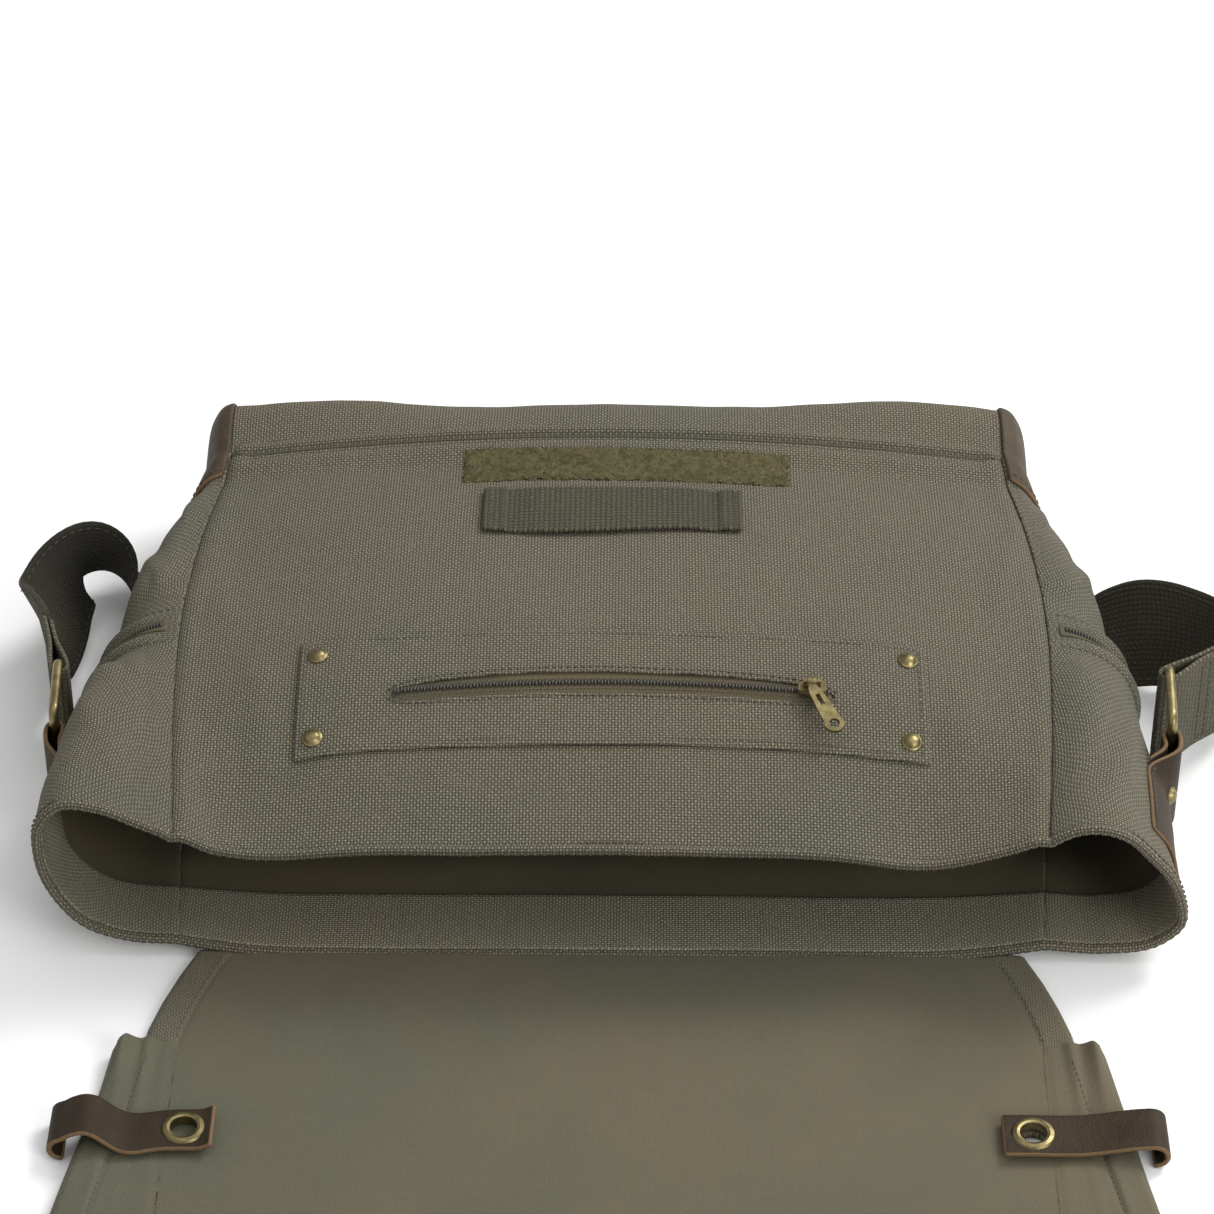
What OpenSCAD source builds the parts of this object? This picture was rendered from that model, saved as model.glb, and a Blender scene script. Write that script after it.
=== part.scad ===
// Canvas messenger bag lying on its back panel, mouth towards -Y, flap laid open on the ground.
// +X runs across the bag, +Y from the flap's free end to the bag's bottom, +Z up.
// The origin is under the middle of the bag with its flap open, on the surface it lies on.
// Lengths along the bag are measured as y from the mouth, and on the flap as t from its hinge.

/* [Body] */
// Width of the front and back panels at the mouth
panel_w = 380; // [360:2:390]
// Length of the front panel, from the mouth to the bottom seam
panel_h = 278; // [270:1:286]
// How far each gusset swells past the panels at the mouth
mouth_swell = 58; // [50:1:60]
// Depth of the rounded bottom panel past the bottom seam
end_depth = 34; // [26:1:38]
// Thickness of the canvas
canvas_t = 1.6; // [1.2:0.1:1.8]
// Thickness of the lining and of the facing
lining_t = 1.2; // [0.8:0.1:1.3]
// Depth of the canvas facing inside the mouth
facing_d = 36; // [28:1:42]

/* [Flap] */
// Height of the flap's top zone, which covers the mouth when the flap is closed
flap_top_l = 100; // [99:1:104]
// Whole length of the flap, from the hinge to the free end
flap_l = 380; // [370:1:386]
// Width of the flap at the hinge
flap_hinge_w = 364; // [350:2:366]
// Width of the flap between its wings
flap_w = 400; // [392:2:404]
// Thickness of the flap, canvas and lining together
flap_t = 3; // [2.6:0.1:3]

/* [Front pocket patch] */
// Width of the patch
patch_w = 278; // [270:2:290]
// Height of the patch
patch_h = 65; // [62:1:70]
// Length of the zip
zip_l = 196; // [180:2:200]

/* [Strap and hardware] */
// Width of the strap webbing
strap_w = 50; // [46:1:50]
// Thickness of the strap webbing
strap_t = 2; // [1.8:0.1:2]
// Diameter of the ring wire
wire_d = 4.5; // [4:0.1:4.6]
// Distance between the middles of a ring's two long bars
ring_reach = 38; // [36:1:40]
// Width of a flap tab
tab_w = 22; // [18:1:22]
// Radius of the hole in a flap tab's eyelet
eyelet_r = 5.8; // [4:0.2:5.8]

/* [Hidden] */

$fn = 48;
gap = 0.3;                                  // between layers that are sewn together
bag_l = panel_h + end_depth;
mouth_y = (flap_l + 2 - bag_l - canvas_t) / 2;  // puts the origin under the middle
hinge_back = 2;                             // flap hinge in front of the back panel's edge
rib = 0.0005;                               // step for slopes
end_square = 0.7;                           // below 1 makes the bag's end squarer than round
groove_h = 3;                               // room under the bag for the strap
groove_y0 = 182;
groove_y1 = 256;
ramp = 12;

canvas = [0.42, 0.41, 0.35];
canvas_dark = [0.38, 0.37, 0.31];
lining = [0.43, 0.41, 0.34];
leather = [0.27, 0.23, 0.17];
brass = [0.55, 0.48, 0.26];
coil_black = [0.12, 0.11, 0.10];
fuzz = [0.40, 0.38, 0.24];
webbing = [0.30, 0.29, 0.24];

// ---- the bag's outer surface ----

function along(y) = min(max(y, 0) / panel_h, 1);
function rise(y) = sin(90 * min(along(y) / 0.45, 1));
function fall(y) = pow(max(0, (along(y) - 0.45) / 0.55), 2);
function step_in(y, start) = min(1, max(0, (y - start) / ramp));

// Half width of the panels, bowed out a little in the middle
function half_w(y) = panel_w / 2 + 8 * sin(180 * along(y)) - 4 * pow(along(y), 4);

// How far the gusset swells past the seams
function swell(y) = 3 + (mouth_swell - 3) * (1 - pow(along(y), 1.3));

// Heights of the front panel at its side seams and along its middle
function seam_z(y) = 70 + 8 * rise(y) - 16 * fall(y);
function middle_z(y) = 60 + 30 * rise(y) - 14 * fall(y);

// Share of the height that is left past the bottom seam, as a square-shouldered round
function shoulder(y) = y <= panel_h ? 1
    : pow(max(0, 1 - pow(min(1, (y - panel_h) / end_depth), 2 / end_square)), end_square / 2);

function flat_top_z(x, y) = seam_z(y) + (middle_z(y) - seam_z(y)) * (1 - pow(x / half_w(y), 2));

// The back panel lies flat, lifts at the corners of the mouth and clears the strap under it
function lip_lift(x, y) = 8 * pow(max(0, 1 - 2 * along(y)), 2)
    * pow(max(0, abs(x) / half_w(y) - 0.7) / 0.3, 2);
function groove(y) = groove_h * step_in(y, groove_y0 - ramp) * (1 - step_in(y, groove_y1));
function flat_under_z(x, y) = canvas_t + lip_lift(x, y) + groove(y);

function top_z(x, y) = let (c = flat_top_z(x, y) / 2)
    c + (flat_top_z(x, y) - c) * shoulder(y);
function under_z(x, y) = let (c = flat_top_z(x, y) / 2)
    c - (c - flat_under_z(x, y)) * shoulder(y);

// A gusset's section is an arc through both seams: its half chord, swell and radius
function half_chord(y) = (top_z(half_w(y), y) - under_z(half_w(y), y)) / 2;
function arc_swell(y) = min(swell(y), y > panel_h ? 0.3 * half_chord(y) : 60);
function arc_r(y) = (pow(half_chord(y), 2) + pow(arc_swell(y), 2)) / (2 * arc_swell(y));
function arc_x(y) = half_w(y) + arc_swell(y) - arc_r(y);
function arc_z(y) = (top_z(half_w(y), y) + under_z(half_w(y), y)) / 2;
function arc_half_angle(y) = 2 * atan(arc_swell(y) / half_chord(y));

// Points of the surface: side = 1 for the right gusset and -1 for the left
back = function(u, y) [(2 * u - 1) * half_w(y), y, under_z((2 * u - 1) * half_w(y), y)];
front = function(u, y) [(1 - 2 * u) * half_w(y), y, top_z((1 - 2 * u) * half_w(y), y)];
side_right = function(u, y) let (a = arc_half_angle(y) * (2 * u - 1))
    [arc_x(y) + arc_r(y) * cos(a), y, arc_z(y) + arc_r(y) * sin(a)];
side_left = function(u, y) let (p = side_right(1 - u, y)) [-p.x, p.y, p.z];
front_at = function(u, y) [-u, y, top_z(-u, y)];
bottom = function(u, x) let (
        x1 = x * half_w(panel_h), a = 90 - 180 * u, c = flat_top_z(x1, panel_h) / 2,
        s = sign(a) * pow(abs(sin(a)), end_square))
    [x1, panel_h + end_depth * pow(cos(a), end_square),
        s > 0 ? c + c * s : c + (c - flat_under_z(x1, panel_h)) * s];

function gusset(side) = side > 0 ? side_right : side_left;

function slope(f, u, v) = let (
        du = f(u + rib, v) - f(u - rib, v), dv = f(u, v + rib) - f(u, v - rib),
        n = cross(dv, du)) n / norm(n);
function grid(f, us, vs, off) = [for (v = vs) [for (u = us) f(u, v) + off * slope(f, u, v)]];
function steps(a, b, n) = [for (i = [0:n]) a + (b - a) * i / n];

// Places where the facets of each surface meet. Layers on one surface share them, so they nest.
across = steps(0.0015, 0.9985, 12);
round_side = steps(0.008, 0.992, 12);
front_rows = steps(0, panel_h - 0.3, 20);
back_rows = concat(steps(0, groove_y0 - ramp, 5), [groove_y0, groove_y1, groove_y1 + ramp, panel_h - 0.3]);
side_rows = concat(steps(0, panel_h, 20), [for (i = [1:5]) panel_h + end_depth * sin(16.4 * i)]);
bottom_cols = steps(-0.995, 0.995, 12);
function cut(list, a, b) = concat([a], [for (v = list) if (v > a && v < b) v], [b]);

// A closed solid between two grids of points
module slab(top, low) {
    n = len(top);
    m = len(top[0]);
    k = n * m;
    quads = concat(
        [for (i = [0:n - 2], j = [0:m - 2])
            [i * m + j, i * m + j + 1, (i + 1) * m + j + 1, (i + 1) * m + j]],
        [for (i = [0:n - 2], j = [0:m - 2])
            [k + i * m + j, k + (i + 1) * m + j, k + (i + 1) * m + j + 1, k + i * m + j + 1]],
        [for (j = [0:m - 2]) [j + 1, j, k + j, k + j + 1]],
        [for (j = [0:m - 2]) let (a = (n - 1) * m + j) [a, a + 1, k + a + 1, k + a]],
        [for (i = [0:n - 2]) [i * m, (i + 1) * m, k + (i + 1) * m, k + i * m]],
        [for (i = [0:n - 2]) let (a = i * m + m - 1) [a + m, a, k + a, k + a + m]]);
    polyhedron(
        points = concat([for (r = top) each r], [for (r = low) each r]),
        faces = [for (q = quads) each [[q[0], q[1], q[2]], [q[0], q[2], q[3]]]],
        convexity = 6);
}

// A layer of cloth or leather on the surface f, from height low to height high above it
module layer(f, us, vs, low, high) {
    translate([0, mouth_y, 0]) slab(grid(f, us, vs, high), grid(f, us, vs, low));
}

// ---- panels ----

module front_panel() { color(canvas) layer(front, across, front_rows, 0, canvas_t); }
module back_panel() { color(canvas) layer(back, across, back_rows, 0, canvas_t); }
module gusset_left() { color(canvas) layer(side_left, round_side, side_rows, 0, canvas_t); }
module gusset_right() { color(canvas) layer(side_right, round_side, side_rows, 0, canvas_t); }
module bottom_panel() { color(canvas) layer(bottom, round_side, bottom_cols, 0, canvas_t); }

// Leather that covers each gusset's bottom end
module corner_leather(side) {
    color(leather) layer(gusset(side), cut(round_side, 0.085, 0.915),
        cut(side_rows, panel_h - 14, panel_h + 29), canvas_t + gap, canvas_t + 2);
}
module corner_leather_left() { corner_leather(-1); }
module corner_leather_right() { corner_leather(1); }

// ---- inside ----

low = -gap - lining_t;
module inner_layer(y0, y1) {
    layer(front, cut(across, 0.006, 0.994), cut(front_rows, y0, y1), low, -gap);
    layer(back, cut(across, 0.006, 0.994), cut(back_rows, y0, y1), low, -gap);
    for (side = [-1, 1])
        layer(gusset(side), cut(round_side, 0.085, 0.915), cut(side_rows, y0, y1), low, -gap);
}
module mouth_facing() { color(canvas_dark) inner_layer(1, facing_d); }
module body_lining() {
    color(lining) {
        inner_layer(facing_d + 0.4, panel_h - 6);
        layer(bottom, cut(round_side, 0.085, 0.915), cut(bottom_cols, -0.96, 0.96), low, -gap);
    }
}

// ---- front pocket patch and its zip ----

patch_y = 45;
patch_mid = patch_y + patch_h / 2;
zip_y = 77;
zip_gape = 11;
zip_z = middle_z(zip_y) + canvas_t + 2.2;   // underside of the straight coil
coil_w = 5;
coil_t = 1.6;
slider_x = 88;

module pocket_patch() {
    color(canvas) difference() {
        layer(front_at, steps(-patch_w / 2, patch_w / 2, 12), steps(patch_y, patch_y + patch_h, 6),
            canvas_t + gap, canvas_t + gap + 1.2);
        translate([-zip_l / 2, mouth_y + zip_y - zip_gape / 2, 0]) cube([zip_l, zip_gape, 120]);
    }
}

module dome(r, h) {
    rotate_extrude() polygon([[0, 0], [r, 0], [r, 0.25 * h], [0.8 * r, 0.75 * h], [0.4 * r, h], [0, h]]);
}

// Places its children on surface f, square to it and height h above it, on the side given by m
module on_surface(f, u, y, h, m = 1) {
    n = slope(f, u, y);
    p = f(u, y) + h * n;
    scale([m, 1, 1]) translate([p.x, mouth_y + p.y, p.z]) rotate([0, acos(n.z), atan2(n.y, n.x)]) children();
}

module patch_rivets() {
    color(brass) for (i = [-1, 1], y = [patch_y + 11, patch_y + patch_h - 10])
        on_surface(front_at, i * (patch_w / 2 - 7), y, canvas_t + gap + 1.3) dome(4.5, 2.2);
}

module patch_zip_tape() {
    color(canvas_dark) layer(front_at, steps(-zip_l / 2 + 1, zip_l / 2 - 1, 8),
        [zip_y - zip_gape / 2 + 1, zip_y, zip_y + zip_gape / 2 - 1], canvas_t + gap, canvas_t + 1);
}

module patch_zip_coil() {
    color(coil_black) translate([-zip_l / 2 + 1, mouth_y + zip_y - coil_w / 2, zip_z])
        cube([zip_l - 2, coil_w, coil_t]);
}

// A slider: body, two posts and the bar that its puller turns on, travelling along X
bar_z = 4.4;
bar_r = 0.9;
bar_l = 4.6;
module slider() {
    linear_extrude(2) polygon([[-6, -2.6], [-1, -4.4], [5, -4.4], [6, -3], [6, 3], [5, 4.4], [-1, 4.4], [-6, 2.6]]);
    for (i = [-1, 1]) translate([i * (bar_l / 2 + 0.8) - 0.8, -1.2, 1.9]) cube([1.6, 2.4, bar_z - 0.9]);
    translate([-bar_l / 2 - 0.4, 0, bar_z]) rotate([0, 90, 0]) cylinder(r = bar_r, h = bar_l + 0.8);
}

// A puller: barrel on the bar, a short neck, and a plate with a slot and a round eye that is
// turned in its own plane
neck = 3;
module puller(l, turn, droop) {
    difference() {
        union() {
            rotate([0, 90, 0]) cylinder(r = 1.9, h = 3.6, center = true);
            rotate([droop, 0, 0]) translate([0, 0, -0.7]) linear_extrude(1.4) {
                translate([-1.6, -neck]) square([3.2, neck]);
                translate([0, -neck]) rotate(turn) difference() {
                    union() {
                        polygon([[-1.8, 0.4], [-2.8, -3], [-4, 8 - l], [4, 8 - l], [2.8, -3], [1.8, 0.4]]);
                        translate([0, 8 - l]) circle(4.4);
                    }
                    translate([0, 8 - l]) circle(2.4);
                    translate([-1, -l * 0.36]) square([2, l * 0.2]);
                }
            }
        }
        rotate([0, 90, 0]) cylinder(r = bar_r + 0.07, h = 20, center = true);
    }
}

slider_z = zip_z + coil_t + 0.3;
module patch_slider() {
    color(brass) translate([slider_x, mouth_y + zip_y, slider_z]) slider();
}
module patch_puller() {
    color(brass) translate([slider_x, mouth_y + zip_y, slider_z + bar_z]) puller(30, 25, 14);
}

// ---- strips on the front panel ----

module loop_strip() {
    color(fuzz) layer(front_at, steps(-82, 72, 6), steps(panel_h - 33, panel_h - 8, 2),
        canvas_t + gap, canvas_t + 2);
}
module webbing_loop() {
    color(webbing) layer(front_at, steps(-61, 59, 6), steps(193, 228, 2),
        canvas_t + gap, canvas_t + 2.8);
}

// ---- gusset zips ----

side_zip_y = 134;
side_rest = -38;                            // where the side sliders rest on their arc, degrees
module side_zip_tape(side) {
    color(canvas_dark) layer(gusset(side), cut(round_side, 0.16, 0.84),
        cut(side_rows, side_zip_y - 12, side_zip_y + 12), canvas_t + gap, canvas_t + 1);
}
module side_zip_tape_left() { side_zip_tape(-1); }
module side_zip_tape_right() { side_zip_tape(1); }

module side_zip_coil(side) {
    color(coil_black) layer(gusset(side), cut(round_side, 0.18, 0.82),
        [side_zip_y - 2.5, side_zip_y + 2.5], canvas_t + 1.3, canvas_t + 2.5);
}
module side_zip_coil_left() { side_zip_coil(-1); }
module side_zip_coil_right() { side_zip_coil(1); }

// Places its children on the gusset's arc at the side zip, with their +Z pointing outwards
module on_side_zip(side, lift) {
    translate([side * arc_x(side_zip_y), mouth_y + side_zip_y, arc_z(side_zip_y)])
        rotate([0, side > 0 ? 90 - side_rest : -90 + side_rest, 0])
            translate([0, 0, arc_r(side_zip_y) + canvas_t + 3.1 + lift]) children();
}
module side_slider_left() { color(brass) on_side_zip(-1, 0) slider(); }
module side_slider_right() { color(brass) on_side_zip(1, 0) slider(); }
module side_puller_left() { color(brass) on_side_zip(-1, bar_z) rotate([0, 0, 180]) puller(22, 0, 4); }
module side_puller_right() { color(brass) on_side_zip(1, bar_z) rotate([0, 0, 180]) puller(22, 0, 4); }

// ---- strap hardware ----

ring_y = 84;
ring_z = arc_z(60);
ring_turn = 3;                              // how far the rings stand out from the bag, degrees
loop_t = 2.5;
bar_x = half_w(ring_y) + swell(ring_y) + canvas_t + wire_d / 2 + loop_t + 0.6;
far_x = bar_x + ring_reach * sin(ring_turn);
far_y = ring_y + ring_reach * cos(ring_turn);
ring_half = strap_w / 2 + wire_d / 2 + 1.5;
corner_r = 5;

module strap_tab(side) {
    color(leather) {
        layer(gusset(side), cut(round_side, 0.35, 0.65), cut(side_rows, 20, ring_y - 6), canvas_t + gap, canvas_t + 2.6);
        translate([side * bar_x, mouth_y + ring_y, ring_z - 21]) difference() {
            cylinder(r = wire_d / 2 + loop_t, h = 42);
            translate([0, 0, -1]) cylinder(r = wire_d / 2 + 0.08, h = 44);
        }
    }
}
module strap_tab_left() { strap_tab(-1); }
module strap_tab_right() { strap_tab(1); }

// A rectangular ring of round wire, its near bar on the Z axis and its far bar at y = ring_reach
module ring() {
    r = wire_d / 2;
    straight = ring_half - corner_r;
    for (y = [0, ring_reach]) translate([0, y, -straight]) cylinder(r = r, h = 2 * straight);
    for (s = [-1, 1]) {
        translate([0, corner_r, s * ring_half]) rotate([-90, 0, 0]) cylinder(r = r, h = ring_reach - 2 * corner_r);
        for (k = [0, 1]) translate([0, k ? ring_reach - corner_r : corner_r, s * straight])
            rotate([0, -90, 0]) rotate([0, 0, s > 0 ? (k ? 0 : -90) : (k ? 90 : 180)])
                rotate_extrude(angle = 90) translate([corner_r, 0]) circle(r);
    }
}
module ring_at(side) {
    color(brass) translate([side * bar_x, mouth_y + ring_y, ring_z]) rotate([0, 0, -side * ring_turn]) ring();
}
module ring_left() { ring_at(-1); }
module ring_right() { ring_at(1); }

// Rivets that hold the doubled strap tabs, square to the leather
module tab_rivets() {
    color(brass) for (side = [-1, 1])
        on_surface(side_right, 0.5, ring_y - 19, canvas_t + 2.75, side) dome(4, 1.8);
}

// Ends of the strap, folded back round the rings' far bars with room to swing
end_l = 36;
end_turn = [15, 53];                        // outward turn of the left and right end, degrees
end_loop_r = wire_d / 2 + 2.9;
end_t = 2 * strap_t + 1;
module strap_end(side) {
    turn = -side * end_turn[side < 0 ? 0 : 1];
    color(webbing) translate([side * far_x, mouth_y + far_y, ring_z]) rotate([0, 0, turn]) difference() {
        union() {
            translate([0, 0, -23]) cylinder(r = end_loop_r + strap_t, h = 46);
            translate([-end_t / 2, end_loop_r + 1, -strap_w / 2]) cube([end_t, end_l - end_loop_r - 1, strap_w]);
        }
        translate([0, 0, -40]) cylinder(r = end_loop_r, h = 80);
    }
}
module strap_end_left() { strap_end(-1); }
module strap_end_right() { strap_end(1); }

// The strap's route, from end to end: [x, y from the mouth, lift, roll]. Roll 0 stands on edge.
function end_point(side, past) = let (a = end_turn[side < 0 ? 0 : 1], d = end_l + past)
    [side * (far_x + d * sin(a)), far_y + d * cos(a), ring_z - strap_w / 2 - 1.2, side < 0 ? 0 : -180];
strap_route = concat([end_point(-1, 1.5), end_point(-1, 7)], [
    [-268, 175, 11.5, 4], [-272, 187, 10, 14], [-275, 199, 9, 25], [-275.5, 212, 10, 29],
    [-273, 224, 13, 21], [-267, 235, 17, 4], [-258, 242.5, 18, -18], [-247, 245, 15, -38],
    [-236, 243, 8.5, -57], [-225, 239, 2.4, -74], [-214, 235, 0.4, -85], [-203, 231, 0, -89],
    [-192, 229.5, 0, -90], [-180, 228.5, 0, -90], [-120, 225, 0, -90], [-60, 223, 0, -90],
    [0, 221, 0, -90], [60, 219, 0, -90], [120, 217, 0, -90], [180, 215, 0, -90],
    [192, 214.5, 0, -90], [203, 214, 0, -90], [214, 213, 0, -96], [227, 211, 0, -110],
    [241, 208, 0, -130], [255, 203, 0.7, -150], [268, 196, 2, -164], [280, 187, 4, -173],
    [288, 177, 6.5, -178], [292, 167, 9, -180], [291, 157, 12, -180]], [end_point(1, 7), end_point(1, 1.5)]);
function strap_mid(p) = [p[0], p[1] + mouth_y, 0.2 + strap_t / 2 + strap_w / 2 * abs(cos(p[3])) + p[2]];
function strap_dir(i) = let (
        a = strap_mid(strap_route[max(0, i - 1)]),
        b = strap_mid(strap_route[min(len(strap_route) - 1, i + 1)])) (b - a) / norm(b - a);
// Directions across the strap: w along its width and n through its thickness
function strap_frame(i) = let (
        t = strap_dir(i), side = cross([0, 0, 1], t) / norm(cross([0, 0, 1], t)),
        up = cross(t, side), roll = strap_route[i][3],
        w = up * cos(roll) + side * sin(roll)) [w, cross(t, w)];
function strap_corners(i) = let (
        c = strap_mid(strap_route[i]), f = strap_frame(i), w = f[0] * strap_w / 2, n = f[1] * strap_t / 2)
    [c + w + n, c + w - n, c - w - n, c - w + n];
module strap_webbing() {
    n = len(strap_route);
    color(webbing) polyhedron(
        points = [for (i = [0:n - 1]) each strap_corners(i)],
        faces = concat([[3, 2, 1], [3, 1, 0]],
            [for (i = [0:n - 2], j = [0:3]) each let (
                    a = 4 * i + j, b = 4 * i + (j + 1) % 4) [[a, b, b + 4], [a, b + 4, a + 4]]],
            [[4 * n - 4, 4 * n - 3, 4 * n - 2], [4 * n - 4, 4 * n - 2, 4 * n - 1]]),
        convexity = 8);
}

// ---- flap ----

hinge_y = mouth_y - hinge_back;
wing_start = 57;
wing_w = 30;
wing_end = flap_l - 40;
corner = 24;
canvas_share = 0.56;                        // canvas part of the flap's thickness

function mirror_x(points) = [for (p = points) [-p.x, p.y]];
function reversed(points) = [for (i = [len(points) - 1:-1:0]) points[i]];

// Half outlines in x and t, from the hinge outwards
function wing_x(t) = flap_w / 2 + wing_w * min(1, 0.3 + 0.7 * (t - wing_start) / 120);
function top_half(end) = [[flap_hinge_w / 2, 0.6], [flap_w / 2 - 7, 30], [flap_w / 2, wing_start],
    [wing_x(wing_start), wing_start], [wing_x(90), 90], [wing_x(end), end]];
front_half = concat([[flap_w / 2, flap_top_l + 0.3]],
    [for (a = [0:15:90]) [flap_w / 2 - corner + corner * cos(a), flap_l - corner + corner * sin(a)]]);
wing_half = [[flap_w / 2 + 0.3, flap_top_l + 0.3], [wing_x(flap_top_l), flap_top_l + 0.3],
    [wing_x(140), 140], [wing_x(200), 200], [wing_x(200), wing_end - 30], [flap_w / 2 + 22, wing_end - 8],
    [flap_w / 2 + 0.3, wing_end]];

// A flat piece of the flap from its half outline, between heights low and high
module flap_piece(half, low, high) {
    translate([0, hinge_y, low]) mirror([0, 1, 0]) linear_extrude(high - low)
        polygon(concat(half, reversed(mirror_x(half))));
}
module flap_layers(half, upper) {
    split = flap_t * canvas_share;
    if (upper) flap_piece(half, split + 0.05, flap_t);
    else flap_piece(half, 0, split);
}
module flap_top_canvas() { color(canvas) flap_layers(top_half(flap_top_l - 0.3), false); }
module flap_top_lining() { color(lining) flap_layers(top_half(flap_top_l - 1.8), true); }   // room to fold
module flap_front_canvas() { color(canvas) flap_layers(front_half, false); }
module flap_front_lining() { color(lining) flap_layers(front_half, true); }

module flap_wing(side) {
    color(canvas) translate([0, hinge_y, 0]) mirror([0, 1, 0]) linear_extrude(flap_t)
        polygon([for (p = wing_half) [side * p.x, p.y]]);
}
module flap_wing_left() { flap_wing(-1); }
module flap_wing_right() { flap_wing(1); }

hook_t0 = flap_top_l + hinge_back + panel_h - 33;  // over the loop strip when closed
module hook_strip() {
    color(fuzz) translate([-72, hinge_y - hook_t0 - 25, flap_t + 0.05]) cube([154, 25, 1.8]);
}

// A leather tab that curls over the wing's edge onto the lining, with its eyelet near the free end
tab_t = 2.4;
tab_mid = 112.5;
curl_r = 6.4;
curl_x = wing_x(tab_mid + tab_w / 2) + 6.6;
tab_reach = 62;
eyelet_x = curl_x - 50;
eyelet_z = flap_t + 3;                      // underside of the tab's free end

// The strip's middle line from the curl inwards: [distance from the curl, height]
function tab_line(d) = eyelet_z + tab_t / 2 + (2 * curl_r - eyelet_z - tab_t) * pow(cos(90 * min(1, d / 34)), 2);
module tab_strip() {
    ds = steps(0, tab_reach, 14);
    outer = [for (d = ds) [-d, tab_line(d) + tab_t / 2]];
    inner = [for (d = ds) [-d, tab_line(d) - tab_t / 2]];
    curl_out = [for (a = [-80:20:80]) [curl_r * cos(a), curl_r + curl_r * sin(a)]];
    curl_in = [for (a = [-80:20:80]) [(curl_r - tab_t) * cos(a), curl_r + (curl_r - tab_t) * sin(a)]];
    polygon(concat(curl_out, outer, reversed(inner), reversed(curl_in)));
}
module flap_tab(side) {
    color(leather) translate([side * curl_x, hinge_y - tab_mid, 0]) mirror([side < 0 ? 1 : 0, 0, 0])
        difference() {
            translate([0, tab_w / 2, 0]) rotate([90, 0, 0]) linear_extrude(tab_w) tab_strip();
            translate([eyelet_x - curl_x, 0, 1]) cylinder(r = eyelet_r + 1.2, h = 10);
        }
}
module flap_tab_left() { flap_tab(-1); }
module flap_tab_right() { flap_tab(1); }

module eyelet(side) {
    r = eyelet_r;
    color(brass) translate([side * eyelet_x, hinge_y - tab_mid, eyelet_z]) rotate_extrude()
        polygon([[r, -0.6], [r + 1.1, -0.6], [r + 1.1, tab_t + 0.1], [r + 3.4, tab_t + 0.1],
            [r + 2.8, tab_t + 0.9], [r + 1.2, tab_t + 1.3], [r, tab_t + 1]]);
}
module eyelet_left() { eyelet(-1); }
module eyelet_right() { eyelet(1); }

front_panel();
back_panel();
gusset_left();
gusset_right();
bottom_panel();
corner_leather_left();
corner_leather_right();
mouth_facing();
body_lining();
pocket_patch();
patch_rivets();
patch_zip_tape();
patch_zip_coil();
patch_slider();
patch_puller();
loop_strip();
webbing_loop();
side_zip_tape_left();
side_zip_tape_right();
side_zip_coil_left();
side_zip_coil_right();
side_slider_left();
side_slider_right();
side_puller_left();
side_puller_right();
strap_tab_left();
strap_tab_right();
ring_left();
ring_right();
tab_rivets();
strap_end_left();
strap_end_right();
strap_webbing();
flap_top_canvas();
flap_top_lining();
flap_front_canvas();
flap_front_lining();
flap_wing_left();
flap_wing_right();
hook_strip();
flap_tab_left();
flap_tab_right();
eyelet_left();
eyelet_right();
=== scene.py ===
"""Looks of a canvas messenger bag that lies on its back with its flap laid open.

Lengths are in mm until Blender meshes are made. On the bag, y runs from the mouth to the bottom,
and on the flap, t runs from its hinge to its free end.
"""
import math

import bpy
import numpy as np
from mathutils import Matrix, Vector


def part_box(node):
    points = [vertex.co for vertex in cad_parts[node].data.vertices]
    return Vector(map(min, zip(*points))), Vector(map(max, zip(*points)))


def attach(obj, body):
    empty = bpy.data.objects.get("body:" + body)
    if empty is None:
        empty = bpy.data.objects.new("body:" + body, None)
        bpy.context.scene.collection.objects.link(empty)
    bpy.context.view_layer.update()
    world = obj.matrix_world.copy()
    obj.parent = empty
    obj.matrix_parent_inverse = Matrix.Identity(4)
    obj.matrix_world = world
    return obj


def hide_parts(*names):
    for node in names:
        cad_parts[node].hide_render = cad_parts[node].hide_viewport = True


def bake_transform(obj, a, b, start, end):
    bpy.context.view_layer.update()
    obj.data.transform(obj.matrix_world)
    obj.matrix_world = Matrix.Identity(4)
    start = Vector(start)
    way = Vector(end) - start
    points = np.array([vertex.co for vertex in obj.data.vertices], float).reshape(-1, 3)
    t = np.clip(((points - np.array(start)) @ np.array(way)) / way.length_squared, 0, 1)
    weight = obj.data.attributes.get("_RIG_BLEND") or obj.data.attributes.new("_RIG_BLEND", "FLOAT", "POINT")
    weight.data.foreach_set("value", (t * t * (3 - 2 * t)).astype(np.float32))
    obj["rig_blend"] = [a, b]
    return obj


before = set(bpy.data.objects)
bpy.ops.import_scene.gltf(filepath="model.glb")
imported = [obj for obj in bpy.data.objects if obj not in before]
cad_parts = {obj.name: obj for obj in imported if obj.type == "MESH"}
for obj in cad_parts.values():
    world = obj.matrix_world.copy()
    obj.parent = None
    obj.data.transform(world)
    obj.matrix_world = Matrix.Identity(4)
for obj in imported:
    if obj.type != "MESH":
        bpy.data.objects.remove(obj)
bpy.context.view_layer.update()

MM = 0.001
UP = np.array([0, 0, 1.0])


def low(node):
    return np.array(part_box(node)[0]) / MM


def high(node):
    return np.array(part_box(node)[1]) / MM


# ---- driving dimensions, from the frame and as in the part ----

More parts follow.
